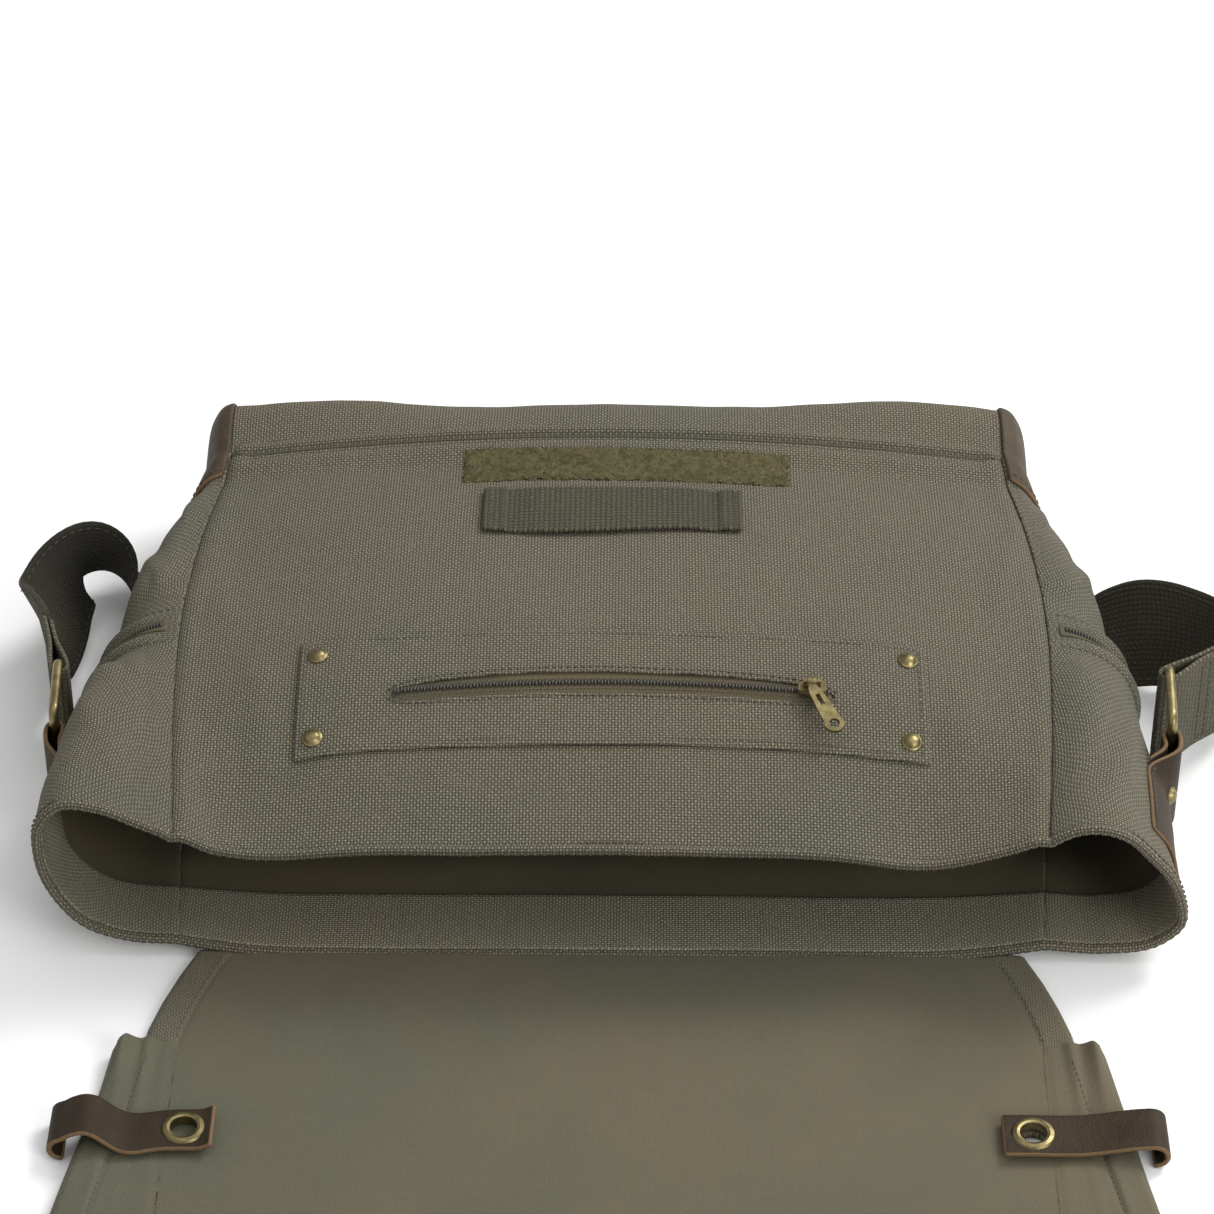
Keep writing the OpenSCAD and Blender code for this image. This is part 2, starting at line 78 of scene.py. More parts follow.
HINGE = high("flap_top_canvas")[1] + 0.6        # scene y of the flap's hinge
MOUTH = HINGE + 2                               # scene y of the bag's mouth
PANEL_HALF, PANEL_H, END = 190, 278, 43
MOUTH_SWELL = 58
CANVAS_T = 1.6
FACING = 36
PATCH_HALF = (high("pocket_patch")[0] - low("pocket_patch")[0]) / 2
PATCH_Y0, PATCH_H = 45, 65
ZIP_Y, ZIP_HALF, SLIDER_X = 77, 98, 88
SIDE_ZIP_Y = 134
STRAP_W, STRAP_T = 50, 2.2
WIRE = 2.25                                     # radius of the ring wire
RING_Y, RING_REACH, RING_TURN = 84, 38, math.radians(3)
FLAP_TOP, FLAP_L, FLAP_T = 100, 380, 3
FLAP_HALF, WING_START, WING_W = 200, 57, 30
FLAP_JOINT = 50                                 # the flap is made in two pieces that meet here
TAB_MID, TAB_W = 112.5, 22

# ---- camera ----

TARGET = np.array([0, MOUTH + 100, 40])
ELEVATION, AIM, DISTANCE, LENS = 39.97, 38.08, 1859, 121.5
SWING = 0.46                                    # degrees that the camera stands round to one side


def add_camera():
    e, a = math.radians(ELEVATION), math.radians(SWING)
    away = Vector((math.sin(a) * math.cos(e), -math.cos(a) * math.cos(e), math.sin(e)))
    data = bpy.data.cameras.new("camera")
    data.lens, data.sensor_width = LENS, 36
    data.clip_end = 20
    camera = bpy.data.objects.new("camera", data)
    camera.location = (Vector(TARGET) + away * DISTANCE) * MM
    camera.rotation_euler = (math.radians(90 - AIM), 0, a + math.radians(0.105))
    bpy.context.scene.collection.objects.link(camera)
    bpy.context.scene.camera = camera


add_camera()

# ---- shapes made of points ----


def smooth(t):
    t = np.clip(t, 0, 1)
    return t * t * (3 - 2 * t)


def hump(x, width):
    return np.exp(-((x / width) ** 2))


def upward(line):
    return np.broadcast_to(UP, line.shape)


def noise(u, v, size, seed):
    """Smooth noise from -1 to 1 at places u, v, in lumps of the given size."""
    table = np.random.RandomState(seed).uniform(-1, 1, (61, 61))
    a, b = np.asarray(u) / size + 400.3, np.asarray(v) / size + 400.7
    i, j = np.floor(a).astype(int), np.floor(b).astype(int)
    fa, fb = smooth(a - i), smooth(b - j)
    near = table[i % 61, j % 61] * (1 - fa) + table[(i + 1) % 61, j % 61] * fa
    far = table[i % 61, (j + 1) % 61] * (1 - fa) + table[(i + 1) % 61, (j + 1) % 61] * fa
    return near * (1 - fb) + far * fb


def run_along(path):
    """Distance along a path to each of its points."""
    return np.r_[0, np.cumsum(np.linalg.norm(np.diff(path, axis=0), axis=1))]


def unit(v):
    return v / np.linalg.norm(v, axis=-1, keepdims=True).clip(1e-9)


def quads_of(idx):
    return np.stack([idx[:-1, :-1], idx[:-1, 1:], idx[1:, 1:], idx[1:, :-1]], -1)


def spaced(points, n):
    """n points of a smooth curve through the given ones, and as far apart as each other."""
    p = np.array(points, float)
    s = run_along(p)
    slope = np.gradient(p, s, axis=0)
    fine = np.linspace(0, s[-1], 40 * len(p))
    k = np.clip(np.searchsorted(s, fine, side="right") - 1, 0, len(s) - 2)
    h = (s[k + 1] - s[k])[:, None]
    f = ((fine - s[k]) / h[:, 0])[:, None]
    q = ((2 * f**3 - 3 * f**2 + 1) * p[k] + (f**3 - 2 * f**2 + f) * h * slope[k]
         + (3 * f**2 - 2 * f**3) * p[k + 1] + (f**3 - f**2) * h * slope[k + 1])
    r = run_along(q)
    even = np.linspace(0, r[-1], n)
    return np.stack([np.interp(even, r, q[:, c]) for c in range(p.shape[1])], 1)


def normals(P):
    n = np.cross(np.gradient(P, axis=1), np.gradient(P, axis=0))
    return n / np.linalg.norm(n, axis=2, keepdims=True).clip(1e-9)


def grid(surface, us, vs):
    u, v = np.meshgrid(np.asarray(us, float), np.asarray(vs, float))
    return surface(u, v)


def line_on(surface, us, vs, lift=0.0):
    """Points of a line on a surface, given its places there, and the surface's slope at each."""
    us, vs = np.broadcast_arrays(np.asarray(us, float), np.asarray(vs, float))
    e = 1e-3
    n = np.cross(surface(us + e, vs) - surface(us - e, vs), surface(us, vs + e) - surface(us, vs - e))
    n /= np.linalg.norm(n, axis=-1, keepdims=True).clip(1e-12)
    return surface(us, vs) + n * lift, n


def make(name, points, faces, mats, face_mats=None, flat=None):
    mesh = bpy.data.meshes.new(name)
    mesh.from_pydata((np.asarray(points) * MM).tolist(), [], faces)
    for m in mats:
        mesh.materials.append(m)
    if face_mats is not None:
        mesh.polygons.foreach_set("material_index", np.asarray(face_mats, np.int32))
    mesh.polygons.foreach_set("use_smooth", np.ones(len(mesh.polygons), bool))
    if flat is not None:
        a = mesh.attributes.new("flat", "FLOAT_VECTOR", "POINT")
        a.data.foreach_set("vector", np.asarray(flat, np.float32).ravel())
    mesh.update()
    obj = bpy.data.objects.new(name, mesh)
    bpy.context.scene.collection.objects.link(obj)
    return obj


def shell(name, top, under, mats, mask=None):
    """A closed sheet between two grids of points. mats are its top, rim and underside, and a
    fourth for the top's faces in mask."""
    n, m = top.shape[:2]
    k = n * m
    idx = np.arange(k).reshape(n, m)
    loop = np.r_[idx[0, :-1], idx[:-1, -1], idx[-1, :0:-1], idx[:0:-1, 0]]
    i, j = loop // m, loop % m
    inner = idx[i.clip(1, n - 2), j.clip(1, m - 2)]
    t, b = top.reshape(-1, 3), under.reshape(-1, 3)
    out = t[loop] - t[inner]
    out = unit(out)
    thick = np.linalg.norm(t[loop] - b[loop], axis=1, keepdims=True)
    middle = (t[loop] + b[loop]) / 2 + out * thick * 0.4
    quads = quads_of(idx).reshape(-1, 4)
    r = np.arange(len(loop))
    nxt = np.roll(r, -1)
    upper = np.stack([2 * k + r, 2 * k + nxt, loop[nxt], loop], 1)
    lower = np.stack([k + loop, k + loop[nxt], 2 * k + nxt, 2 * k + r], 1)
    faces = np.concatenate([quads, quads[:, ::-1] + k, upper, lower])
    top_mats = np.zeros(len(quads), int) if mask is None else np.where(mask.ravel(), 3, 0)
    face_mats = np.r_[top_mats, np.full(len(quads), 2), np.full(2 * len(loop), 1)]
    u = run_along(top.mean(0))
    v = run_along(top.mean(1))
    du = np.pad(np.linalg.norm(np.diff(top, axis=1), axis=2).cumsum(1), ((0, 0), (1, 0)))
    dv = np.pad(np.linalg.norm(np.diff(top, axis=0), axis=2).cumsum(0), ((1, 0), (0, 0)))
    du -= du[:, m // 2: m // 2 + 1] - u[m // 2]
    dv -= dv[n // 2: n // 2 + 1] - v[n // 2]
    f = np.stack([du, dv, np.zeros_like(du)], -1).reshape(-1, 3)
    return make(name, np.concatenate([t, b, middle]), faces.tolist(), mats, face_mats,
                np.concatenate([f, f, f[loop]]))


def cloth(name, P, inner, outer, inside, mats, mask=None):
    """A sheet from inner to outer mm above grid P, where above is away from the point inside."""
    if (normals(P) * (P - np.array(inside, float))).sum(2).mean() < 0:
        P = P[:, ::-1]
        mask = None if mask is None else mask[:, ::-1]
    n = normals(P)
    return shell(name, P + n * outer, P + n * inner, mats, mask)


def frames(path, closed=False):
    """Directions along a path and two across it, turned as little as can be."""
    t = (np.roll(path, -1, 0) - np.roll(path, 1, 0)) if closed else np.gradient(path, axis=0)
    t = unit(t)
    n = np.zeros_like(t)
    v = np.cross(t[0], [0.3, 0.1, 1])
    for k in range(len(t)):
        v = v - t[k] * (v @ t[k])
        v /= np.linalg.norm(v)
        n[k] = v
    return t, n, np.cross(t, n)


def tube(name, path, radius, sides, mats, closed=False):
    path = np.asarray(path, float)
    _, n, b = frames(path, closed)
    k, s = len(path), np.linspace(0, 2 * np.pi, sides, endpoint=False)
    r = np.broadcast_to(np.asarray(radius, float), (k, sides))[..., None]
    P = path[:, None] + r * (np.cos(s)[None, :, None] * n[:, None] + np.sin(s)[None, :, None] * b[:, None])
    i = np.arange(k if closed else k - 1)[:, None]
    j = np.arange(sides)[None]
    i2, j2 = (i + 1) % k, (j + 1) % sides
    faces = np.stack([i * sides + j, i * sides + j2, i2 * sides + j2, i2 * sides + j], -1)
    faces = faces.reshape(-1, 4).tolist()
    if not closed:
        faces += [list(range(sides - 1, -1, -1)), list(range((k - 1) * sides, k * sides))]
    length = run_along(path)
    flat = np.stack(np.broadcast_arrays(length[:, None], s[None] * 2, 0), -1).reshape(-1, 3)
    return make(name, P.reshape(-1, 3), faces, mats, flat=flat)


def copies(name, template, origins, X, Y, Z, mats):
    """One mesh of a template's copies, each at an origin with its own axes, whose lengths scale it."""
    tv, tf = template
    P = (origins[:, None] + tv[None, :, :1] * X[:, None] + tv[None, :, 1:2] * Y[:, None]
         + tv[None, :, 2:] * Z[:, None])
    faces = [[v + k * len(tv) for v in f] for k in range(len(origins)) for f in tf]
    return make(name, P.reshape(-1, 3), faces, mats)


def ringed(first, between, last):
    """A form with a point at each end and rings of points between, and its faces."""
    rings, sides = len(between), len(between[0])
    f = [[0, 1 + (j + 1) % sides, 1 + j] for j in range(sides)]
    for i in range(rings - 1):
        a, b = 1 + i * sides, 1 + (i + 1) * sides
        f += [[a + j, a + (j + 1) % sides, b + (j + 1) % sides, b + j] for j in range(sides)]
    end = 1 + (rings - 1) * sides
    f += [[end + j, end + (j + 1) % sides, end + sides] for j in range(sides)]
    return np.array([first, *(v for ring in between for v in ring), last], float), f


def bead(rings, sides):
    """A bead of length 1 along X and radius 1, with its ends closed."""
    a = np.linspace(0, 2 * np.pi, sides, endpoint=False)
    between = [[[x / 2, math.sqrt(1 - x**2) * math.cos(s), math.sqrt(1 - x**2) * math.sin(s)] for s in a]
               for x in np.linspace(-1, 1, rings + 2)[1:-1]]
    return ringed([-0.5, 0, 0], between, [0.5, 0, 0])


def lathe(profile, sides):
    """A turned shape about Z from (radius, height) pairs, the first and last on the axis."""
    a = np.linspace(0, 2 * np.pi, sides, endpoint=False)
    between = [[[r * math.cos(s), r * math.sin(s), z] for s in a] for r, z in profile[1:-1]]
    return ringed([0, 0, profile[0][1]], between, [0, 0, profile[-1][1]])


class Thread:
    """Gathers rows of stitches and makes them one mesh."""

    def __init__(self):
        self.parts = []

    def row(self, line, normal, pitch=3.6, length=2.7, radius=0.36, sink=0.05):
        s = run_along(line)
        n = max(1, int(s[-1] / pitch))
        at = (np.arange(n) + 0.5) * s[-1] / n
        get = lambda a, q: np.stack([np.interp(q, s, a[:, c]) for c in range(3)], 1)
        x = get(line, at + length / 2) - get(line, at - length / 2)
        x = unit(x)
        z = get(normal, at)
        z -= x * (x * z).sum(1, keepdims=True)
        z = unit(z)
        self.parts.append((get(line, at) + z * (radius * 0.6 - sink), x * length,
                           np.cross(z, x) * radius, z * radius))
        return self

    def make(self, name, material):
        o, x, y, z = (np.concatenate([p[k] for p in self.parts]) for k in range(4))
        return copies(name, bead(3, 6), o, x, y, z, [material])


def piece(obj, body, slot, *nodes):
    if body:
        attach(obj, body)
    if nodes:
        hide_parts(*nodes)
    return obj


# ---- materials ----


class Paint:
    """A material's node tree, with short ways to add to it."""

    def __init__(self, name, rough, **sockets):
        self.m = bpy.data.materials.new(name)
        self.m.use_nodes = True
        self.t = self.m.node_tree
        self.b = self.t.nodes["Principled BSDF"]
        self.b.inputs["Roughness"].default_value = rough
        for k, v in sockets.items():
            self.b.inputs[k.replace("_", " ")].default_value = v

    def add(self, kind, **values):
        n = self.t.nodes.new("ShaderNode" + kind)
        for k, v in values.items():
            if hasattr(n, k):
                setattr(n, k, v)
            else:
                n.inputs[k.replace("_", " ")].default_value = v
        return n

    def join(self, a, b):
        self.t.links.new(a, b)
        return a

    def math(self, op, a, b=None, c=None):
        n = self.add("Math", operation=op)
        for i, v in enumerate((a, b, c)):
            if v is None:
                continue
            if isinstance(v, (int, float)):
                n.inputs[i].default_value = v
            else:
                self.join(v, n.inputs[i])
        return n.outputs[0]

    def noise(self, scale, detail=3.0, where=None, rough=0.55):
        n = self.add("TexNoise", Scale=scale, Detail=detail, Roughness=rough)
        if where is None:
            where = self.add("TexCoord").outputs["Object"]
        self.join(where, n.inputs["Vector"])
        return n.outputs["Fac"]

    def ramp(self, value, stops):
        n = self.add("ValToRGB")
        self.join(value, n.inputs[0])
        e = n.color_ramp.elements
        while len(e) < len(stops):
            e.new(0.5)
        for k, (at, c) in enumerate(stops):
            e[k].position = at
            e[k].color = (*c, 1)
        return n.outputs[0]

    def mix(self, factor, a, b, kind="MIX"):
        n = self.add("Mix", data_type="RGBA", blend_type=kind)
        for socket, v in ((n.inputs[0], factor), (n.inputs[6], a), (n.inputs[7], b)):
            if isinstance(v, (int, float)):
                socket.default_value = v
            elif isinstance(v, tuple):
                socket.default_value = (*v, 1)
            else:
                self.join(v, socket)
        return n.outputs[2]

    def bump(self, height, distance, strength=1.0):
        n = self.add("Bump", Strength=strength, Distance=distance * MM)
        self.join(height, n.inputs["Height"])
        self.join(n.outputs[0], self.b.inputs["Normal"])

    def colour(self, c):
        self.join(c, self.b.inputs["Base Color"])
        return self


def tint(c, k):
    return tuple(min(1, v * k) for v in c)


def woven(name, base, pitch, depth, thread_shading=0.3, mottle=0.16, speck=0.22, ribs=False):
    """Plain-weave cloth, or webbing with ribs along it, in the piece's own flat coordinates."""
    p = Paint(name, 0.95, Sheen_Weight=0.05, Sheen_Roughness=0.5, Specular_IOR_Level=0.2)
    flat = p.add("Attribute", attribute_name="flat").outputs["Vector"]
    warp = p.add("VectorMath", operation="ADD")
    p.join(flat, warp.inputs[0])
    lumps = p.add("TexNoise", Scale=0.35, Detail=2.0)
    p.join(flat, lumps.inputs["Vector"])
    shift = p.add("VectorMath", operation="SCALE", Scale=0.5 * pitch)
    p.join(lumps.outputs["Color"], shift.inputs[0])
    p.join(shift.outputs[0], warp.inputs[1])
    split = p.add("SeparateXYZ")
    p.join(warp.outputs[0], split.inputs[0])
    u = p.math("MULTIPLY", split.outputs[0], math.pi / pitch)
    v = p.math("MULTIPLY", split.outputs[1], math.pi / (pitch * (0.55 if ribs else 1)))
    su, sv = p.math("SINE", u), p.math("SINE", v)
    over = p.math("MULTIPLY", su, sv)               # threads pass over and under each other
    threads = p.math("ABSOLUTE", over)
    floats = p.math("MAXIMUM", over, 0.0)           # where the upper thread shows
    height = p.math("MULTIPLY_ADD", floats, 0.8, p.math("MULTIPLY", threads, 0.6))
    fine = p.noise(1100, 2)
    height = p.math("MULTIPLY_ADD", fine, 0.4, height)
    p.bump(height, depth)
    wide, middle = p.noise(7, 4), p.noise(60, 4)
    warm = (base[0] * 1.10, base[1], base[2] * 0.95)
    cool = (base[0] * 0.90, base[1] * 0.99, base[2] * 1.02)
    hue = p.ramp(wide, [(0.38, tint(cool, 1 - mottle)), (0.62, tint(warm, 1 + mottle))])
    c = p.mix(p.math("MULTIPLY", middle, 0.4), hue, tint(base, 0.86))
    # Painted shade darkens the gaps between threads, and painted highlight lightens the thread tops where the
    # upper thread shows.
    gap_shade = p.math("SUBTRACT", 1.0, threads)
    c = p.mix(p.math("MULTIPLY", gap_shade, thread_shading), c, tint(base, 0.22))
    c = p.mix(p.math("MULTIPLY", floats, thread_shading), c, tint(base, 1.9))
    bits = p.ramp(p.noise(900, 2, rough=0.7), [(0.52, (0, 0, 0)), (0.72, (1, 1, 1))])
    c = p.mix(p.math("MULTIPLY", bits, speck), c, tint(base, 2.0))
    return p.colour(c).m


def hide(name, base, rough=0.55, scale=1.0, wear=1.0):
    """Waxed leather: pores, creases and rubbed lighter places."""
    p = Paint(name, rough, Specular_IOR_Level=0.28)
    pores = p.add("TexVoronoi", Scale=900 * scale)
    p.join(p.add("TexCoord").outputs["Object"], pores.inputs["Vector"])
    creases = p.noise(140 * scale, 5, rough=0.7)
    height = p.math("MULTIPLY_ADD", pores.outputs["Distance"], 0.35, creases)
    p.bump(height, 0.5)
    rubbed = p.ramp(p.noise(38, 5, rough=0.65), [(0.42, (0, 0, 0)), (0.68, (1, 1, 1))])
    c = p.mix(p.math("MULTIPLY", rubbed, 0.55 * wear), base, tint(base, 2.1))
    c = p.mix(p.math("MULTIPLY", p.noise(420, 3), 0.5), c, tint(base, 0.55))
    return p.colour(c).m


def metal(name, base, rough):
    """Antique brass: tarnish in patches, with fine scratches."""
    p = Paint(name, rough, Metallic=1.0)
    tarnish = p.ramp(p.noise(160, 4, rough=0.6), [(0.38, (0, 0, 0)), (0.66, (1, 1, 1))])
    p.colour(p.mix(tarnish, tint(base, 0.5), base))
    p.join(p.math("MULTIPLY_ADD", p.noise(500, 3), 0.25, rough - 0.12), p.b.inputs["Roughness"])
    p.bump(p.noise(1500, 2), 0.05)
    return p.m


def plain(name, base, rough, grain=0.25, scale=900, bump=0.15):
    p = Paint(name, rough)
    n = p.noise(scale, 3)
    p.colour(p.mix(n, tint(base, 1 - grain), tint(base, 1 + grain)))
    p.bump(n, bump)
    return p.m


def fuzzy(name, base):
    p = Paint(name, 1.0, Sheen_Weight=0.08, Sheen_Roughness=0.6, Specular_IOR_Level=0.1)
    hairs = p.noise(2600, 4, rough=0.8)
    c = p.ramp(hairs, [(0.3, tint(base, 0.35)), (0.5, base), (0.72, tint(base, 1.9))])
    p.colour(p.mix(p.math("MULTIPLY", p.noise(240, 3), 0.5), c, tint(base, 0.6)))
    p.bump(hairs, 1.2)
    return p.m


CANVAS = woven("canvas", (0.156, 0.141, 0.099), 1.4, 0.6, 0.95, 0.08, 0.3)
# A slightly darker copy of the canvas for the gussets: painted shade on the bag's sides.
CANVAS_SIDE_SHADED = woven("canvas_side_painted_shade", (0.150, 0.137, 0.096), 1.4, 0.6, 0.95, 0.08, 0.3)
# The facing's canvas, painted much lighter than the canvas outside: painted light inside the mouth.
FACING_CANVAS_LIT = woven("facing_canvas_painted_light", (0.235, 0.219, 0.157), 1.3, 0.45, 0.8, 0.06, 0.3)
LINING = woven("lining", (0.116, 0.106, 0.070), 0.9, 0.10, 0.25, 0.05, 0.12)
FLAP_HEM = woven("flap_hem", (0.136, 0.124, 0.084), 1.2, 0.3, 0.5, 0.05, 0.2)
# A darker copy of the lining for inside the bag: painted shade.
LINING_INSIDE_SHADED = woven("lining_inside_painted_shade", (0.080, 0.071, 0.042), 0.9, 0.10, 0.2, 0.10, 0.08)
TAPE = woven("zip_tape", (0.105, 0.092, 0.055), 0.8, 0.15, 0.35, 0.08, 0.1)
WEBBING = woven("webbing", (0.100, 0.092, 0.062), 2.4, 0.7, 0.55, 0.12, 0.25, ribs=True)
# A darker copy of the webbing: painted shade on the strap's face inside each loop.
WEBBING_PAINTED_SHADE = woven("webbing_shaded_face", (0.046, 0.042, 0.029), 2.4, 0.7, 0.55, 0.12, 0.25, ribs=True)
STRIP_WEB = woven("strip_webbing", (0.074, 0.070, 0.046), 2.4, 0.7, 0.6, 0.06, 0.25, ribs=True)
LEATHER = hide("leather", (0.024, 0.014, 0.005), 0.68)
CORNER_HIDE = hide("corner_leather", (0.052, 0.036, 0.020), 0.65)
RAW_EDGE = plain("leather_edge", (0.135, 0.080, 0.034), 0.85, 0.35, 500, 0.3)
THREAD = plain("thread", (0.075, 0.068, 0.048), 0.8, 0.3, 1500, 0.1)
BRASS = metal("brass", (0.31, 0.25, 0.12), 0.42)
COIL = plain("zip_coil", (0.030, 0.027, 0.020), 0.45, 0.3, 1200, 0.05)
FUZZ = fuzzy("loop_pile", (0.155, 0.136, 0.054))

METAL_PARTS = ("slider", "puller", "ring", "rivet", "eyelet")
for node_name, node_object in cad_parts.items():
    material = BRASS if any(k in node_name for k in METAL_PARTS) else CANVAS
    node_object.data.materials.clear()
    node_object.data.materials.append(material)

# ---- the strap, which is a flat cord ----

RING_Z = (low("ring_left")[2] + high("ring_left")[2]) / 2
BAR_X = low("ring_right")[0] + WIRE
FAR_X, FAR_Y = BAR_X + RING_REACH * math.sin(RING_TURN), RING_Y + RING_REACH * math.cos(RING_TURN)
END_L, END_TURN = 36, {-1: math.radians(15), 1: math.radians(53)}


def strap_tip(side, past):
    a = END_TURN[side]
    return [side * (FAR_X + (END_L + past) * math.sin(a)), FAR_Y + (END_L + past) * math.cos(a),
            RING_Z - STRAP_W / 2 - 1.2, 0 if side < 0 else -180]


# Each point is x, y, lift off the ground and roll, where roll 0 stands on edge and 90 lies flat
STRAP_ROUTE = [strap_tip(-1, 1.5), strap_tip(-1, 7)] + [
    [-266, 174, 11, 6], [-267.5, 185, 8, 17], [-268.5, 196, 5, 29], [-268, 208, 4.5, 33],
    [-265.5, 220, 6.5, 25], [-260, 231, 10, 6], [-252, 239, 11, -19], [-243, 242, 9, -40],
    [-234, 241, 5, -59], [-224.5, 238.5, 1.6, -75], [-214, 235, 0.4, -85], [-203, 231, 0, -89],
    [-192, 229.5, 0, -90], [-180, 228.5, 0, -90], [-120, 225, 0, -90], [-60, 223, 0, -90],
    [0, 221, 0, -90], [60, 219, 0, -90], [120, 217, 0, -90], [180, 215, 0, -90],
    [192, 214.5, 0, -90], [203, 214, 0, -90], [214, 213, 0, -96], [227, 211, 0, -110],
    [241, 208, 0, -130], [255, 203, 0.7, -150], [268, 196, 2, -164], [280, 187, 4, -173],
    [288, 177, 6.5, -178], [292, 167, 9, -180], [291, 157, 12, -180]] + [strap_tip(1, 7), strap_tip(1, 1.5)]


def add_strap():
    route = spaced(STRAP_ROUTE, 200)
    roll = np.radians(route[:, 3].clip(-180, 60))
    mid = np.stack([route[:, 0], route[:, 1] + MOUTH,
                    0.2 + STRAP_T / 2 + STRAP_W / 2 * np.abs(np.cos(roll)) + route[:, 2].clip(0)], 1)
    t = np.gradient(mid, axis=0)
    t = unit(t)
    side = np.cross([0, 0, 1], t)
    side = unit(side)
    w = np.cross(t, side) * np.cos(roll)[:, None] + side * np.sin(roll)[:, None]
    n = np.cross(t, w)
    across = np.linspace(-0.5, 0.5, 21)
    crown = 0.25 * np.cos(np.pi * across)[None, :, None]
    P = mid[:, None] + across[None, :, None] * STRAP_W * w[:, None] + crown * n[:, None]
    half = (STRAP_T / 2 * np.sqrt(1 - (np.abs(across * 2) ** 8) * 0.75))[None, :, None] * n[:, None]
    obj = shell("shoulder_strap", P - half, P + half, (WEBBING, WEBBING, WEBBING, WEBBING_PAINTED_SHADE))
    # The face inside each loop takes the webbing's darker copy, painted shade.
    for f in obj.data.polygons:                 # the face inside each loop is darker
        x, y = f.center.x / MM, f.center.y / MM - MOUTH
        into = (math.copysign(225, x) - x) * f.normal.x + (170 - y) * f.normal.y
        if abs(x) > 212 and into > 0 and abs(f.normal.z) < 0.9:
            f.material_index = 3
    piece(obj, "bag", "webbing", "strap_webbing")
    stitches = Thread()
    for edge in (0.44, -0.44):
        for s in (1, -1):
            stitches.row(mid + edge * STRAP_W * w + n * s * STRAP_T / 2, n * s, 4.4, 3.2, 0.3)
    rows = piece(stitches.make("strap_stitches", THREAD), "bag", "webbing")
    folds = [f for nm, s in (("left", -1), ("right", 1)) for f in add_strap_end(nm, s)]


def add_strap_end(nm, side):
    a = END_TURN[side]
    along_strap, out = np.array([math.sin(a), math.cos(a)]), np.array([math.cos(a), -math.sin(a)])
    turn = np.linspace(0, -np.pi, 9)
    run = [(1.25, END_L + 1.5), (1.3, 28), (1.6, 18), (3.0, 9)]
    run += [(3.6 * math.cos(q), 3.6 * math.sin(q)) for q in turn]
    run += [(-3.0, 9), (-1.6, 18), (-1.3, 27), (-1.3, 34)]
    xy = spaced(run, 80)
    x = side * (FAR_X + xy[:, 0] * out[0] + xy[:, 1] * along_strap[0])
    y = FAR_Y + xy[:, 0] * out[1] + xy[:, 1] * along_strap[1] + MOUTH
    z = RING_Z + np.linspace(-STRAP_W / 2, STRAP_W / 2, 30)
    P = np.stack([np.tile(x, (30, 1)), np.tile(y, (30, 1)), np.tile(z[:, None], (1, 80))], -1)
    n = normals(P)
    if (n[:, :20] @ np.array([side, 0, 0.0])).mean() < 0:
        P = P[::-1]
        n = normals(P)
    half = 0.95
    fold = shell("strap_fold_" + nm, P + n * half, P - n * half, (WEBBING,) * 3)
    piece(fold, "bag", "webbing", "strap_end_" + nm)
    thread = Thread()
    for k in (12, 17):
        thread.row(P[2:-2, k] + n[2:-2, k] * half, n[2:-2, k], 3.4, 2.6, 0.4)
    for r in (2, 27):
        thread.row(P[r, 4:18] + n[r, 4:18] * half, n[r, 4:18], 3.4, 2.6, 0.4)
    return fold, piece(thread.make("strap_fold_stitches_" + nm, THREAD), "bag", "webbing")


add_strap()

# ---- the bag's surfaces, as in the part, with the cloth's sags and creases ----


def along(y):
    return np.clip(y / PANEL_H, 0, 1)


def half_w(y):
    return PANEL_HALF + 8 * np.sin(np.pi * along(y)) - 4 * along(y) ** 4


def shoulder(y):
    return (1 - np.clip((y - PANEL_H) / END, 0, 1) ** (2 / 0.7)) ** 0.35


def flat_top_z(x, y):
    rise = np.sin(np.pi / 2 * np.minimum(along(y) / 0.45, 1))
    fall = np.maximum(0, (along(y) - 0.45) / 0.55) ** 2
    full = 9 * smooth((y - 255) / 23)
    seam, middle = 70 + 8 * rise - 16 * fall + full, 60 + 30 * rise - 14 * fall + full
    return seam + (middle - seam) * (1 - (x / half_w(y)) ** 2)


def flat_under_z(x, y):
    lift = 8 * np.maximum(0, 1 - 2 * along(y)) ** 2 * (np.maximum(0, np.abs(x) / half_w(y) - 0.7) / 0.3) ** 2
    return CANVAS_T + lift + 3 * smooth((y - 168) / 14) * (1 - smooth((y - 256) / 14))


def end_puff(s, a):
    """The bottom's corners stand fuller than its middle. a is 1 at the front seam and 0 halfway round."""
    return 10 * smooth((np.abs(s) - 0.3) / 0.55) * np.sin(np.pi * np.clip(1 - a, 0, 1))


def top_z(x, y):
    c = flat_top_z(x, y) / 2
    a = 2 / np.pi * np.arccos(np.clip((y - PANEL_H) / END, 0, 1) ** (1 / 0.7))
    return c + c * shoulder(y) + end_puff(x / half_w(y), a)


def under_z(x, y):
    c = flat_top_z(x, y) / 2
    return c - (c - flat_under_z(x, y)) * shoulder(y)


def near_line(u, v, a, b, width):
    """1 on the line from a to b, falling off to 0 either side of it and at its ends."""
    a, b = np.array(a, float), np.array(b, float)
    d = b - a
    k = ((u - a[0]) * d[0] + (v - a[1]) * d[1]) / (d @ d)
    off = (u - a[0]) * -d[1] + (v - a[1]) * d[0]
    return np.exp(-((off / np.linalg.norm(d) / width) ** 2)) * smooth(k / 0.25) * smooth((1 - k) / 0.35)


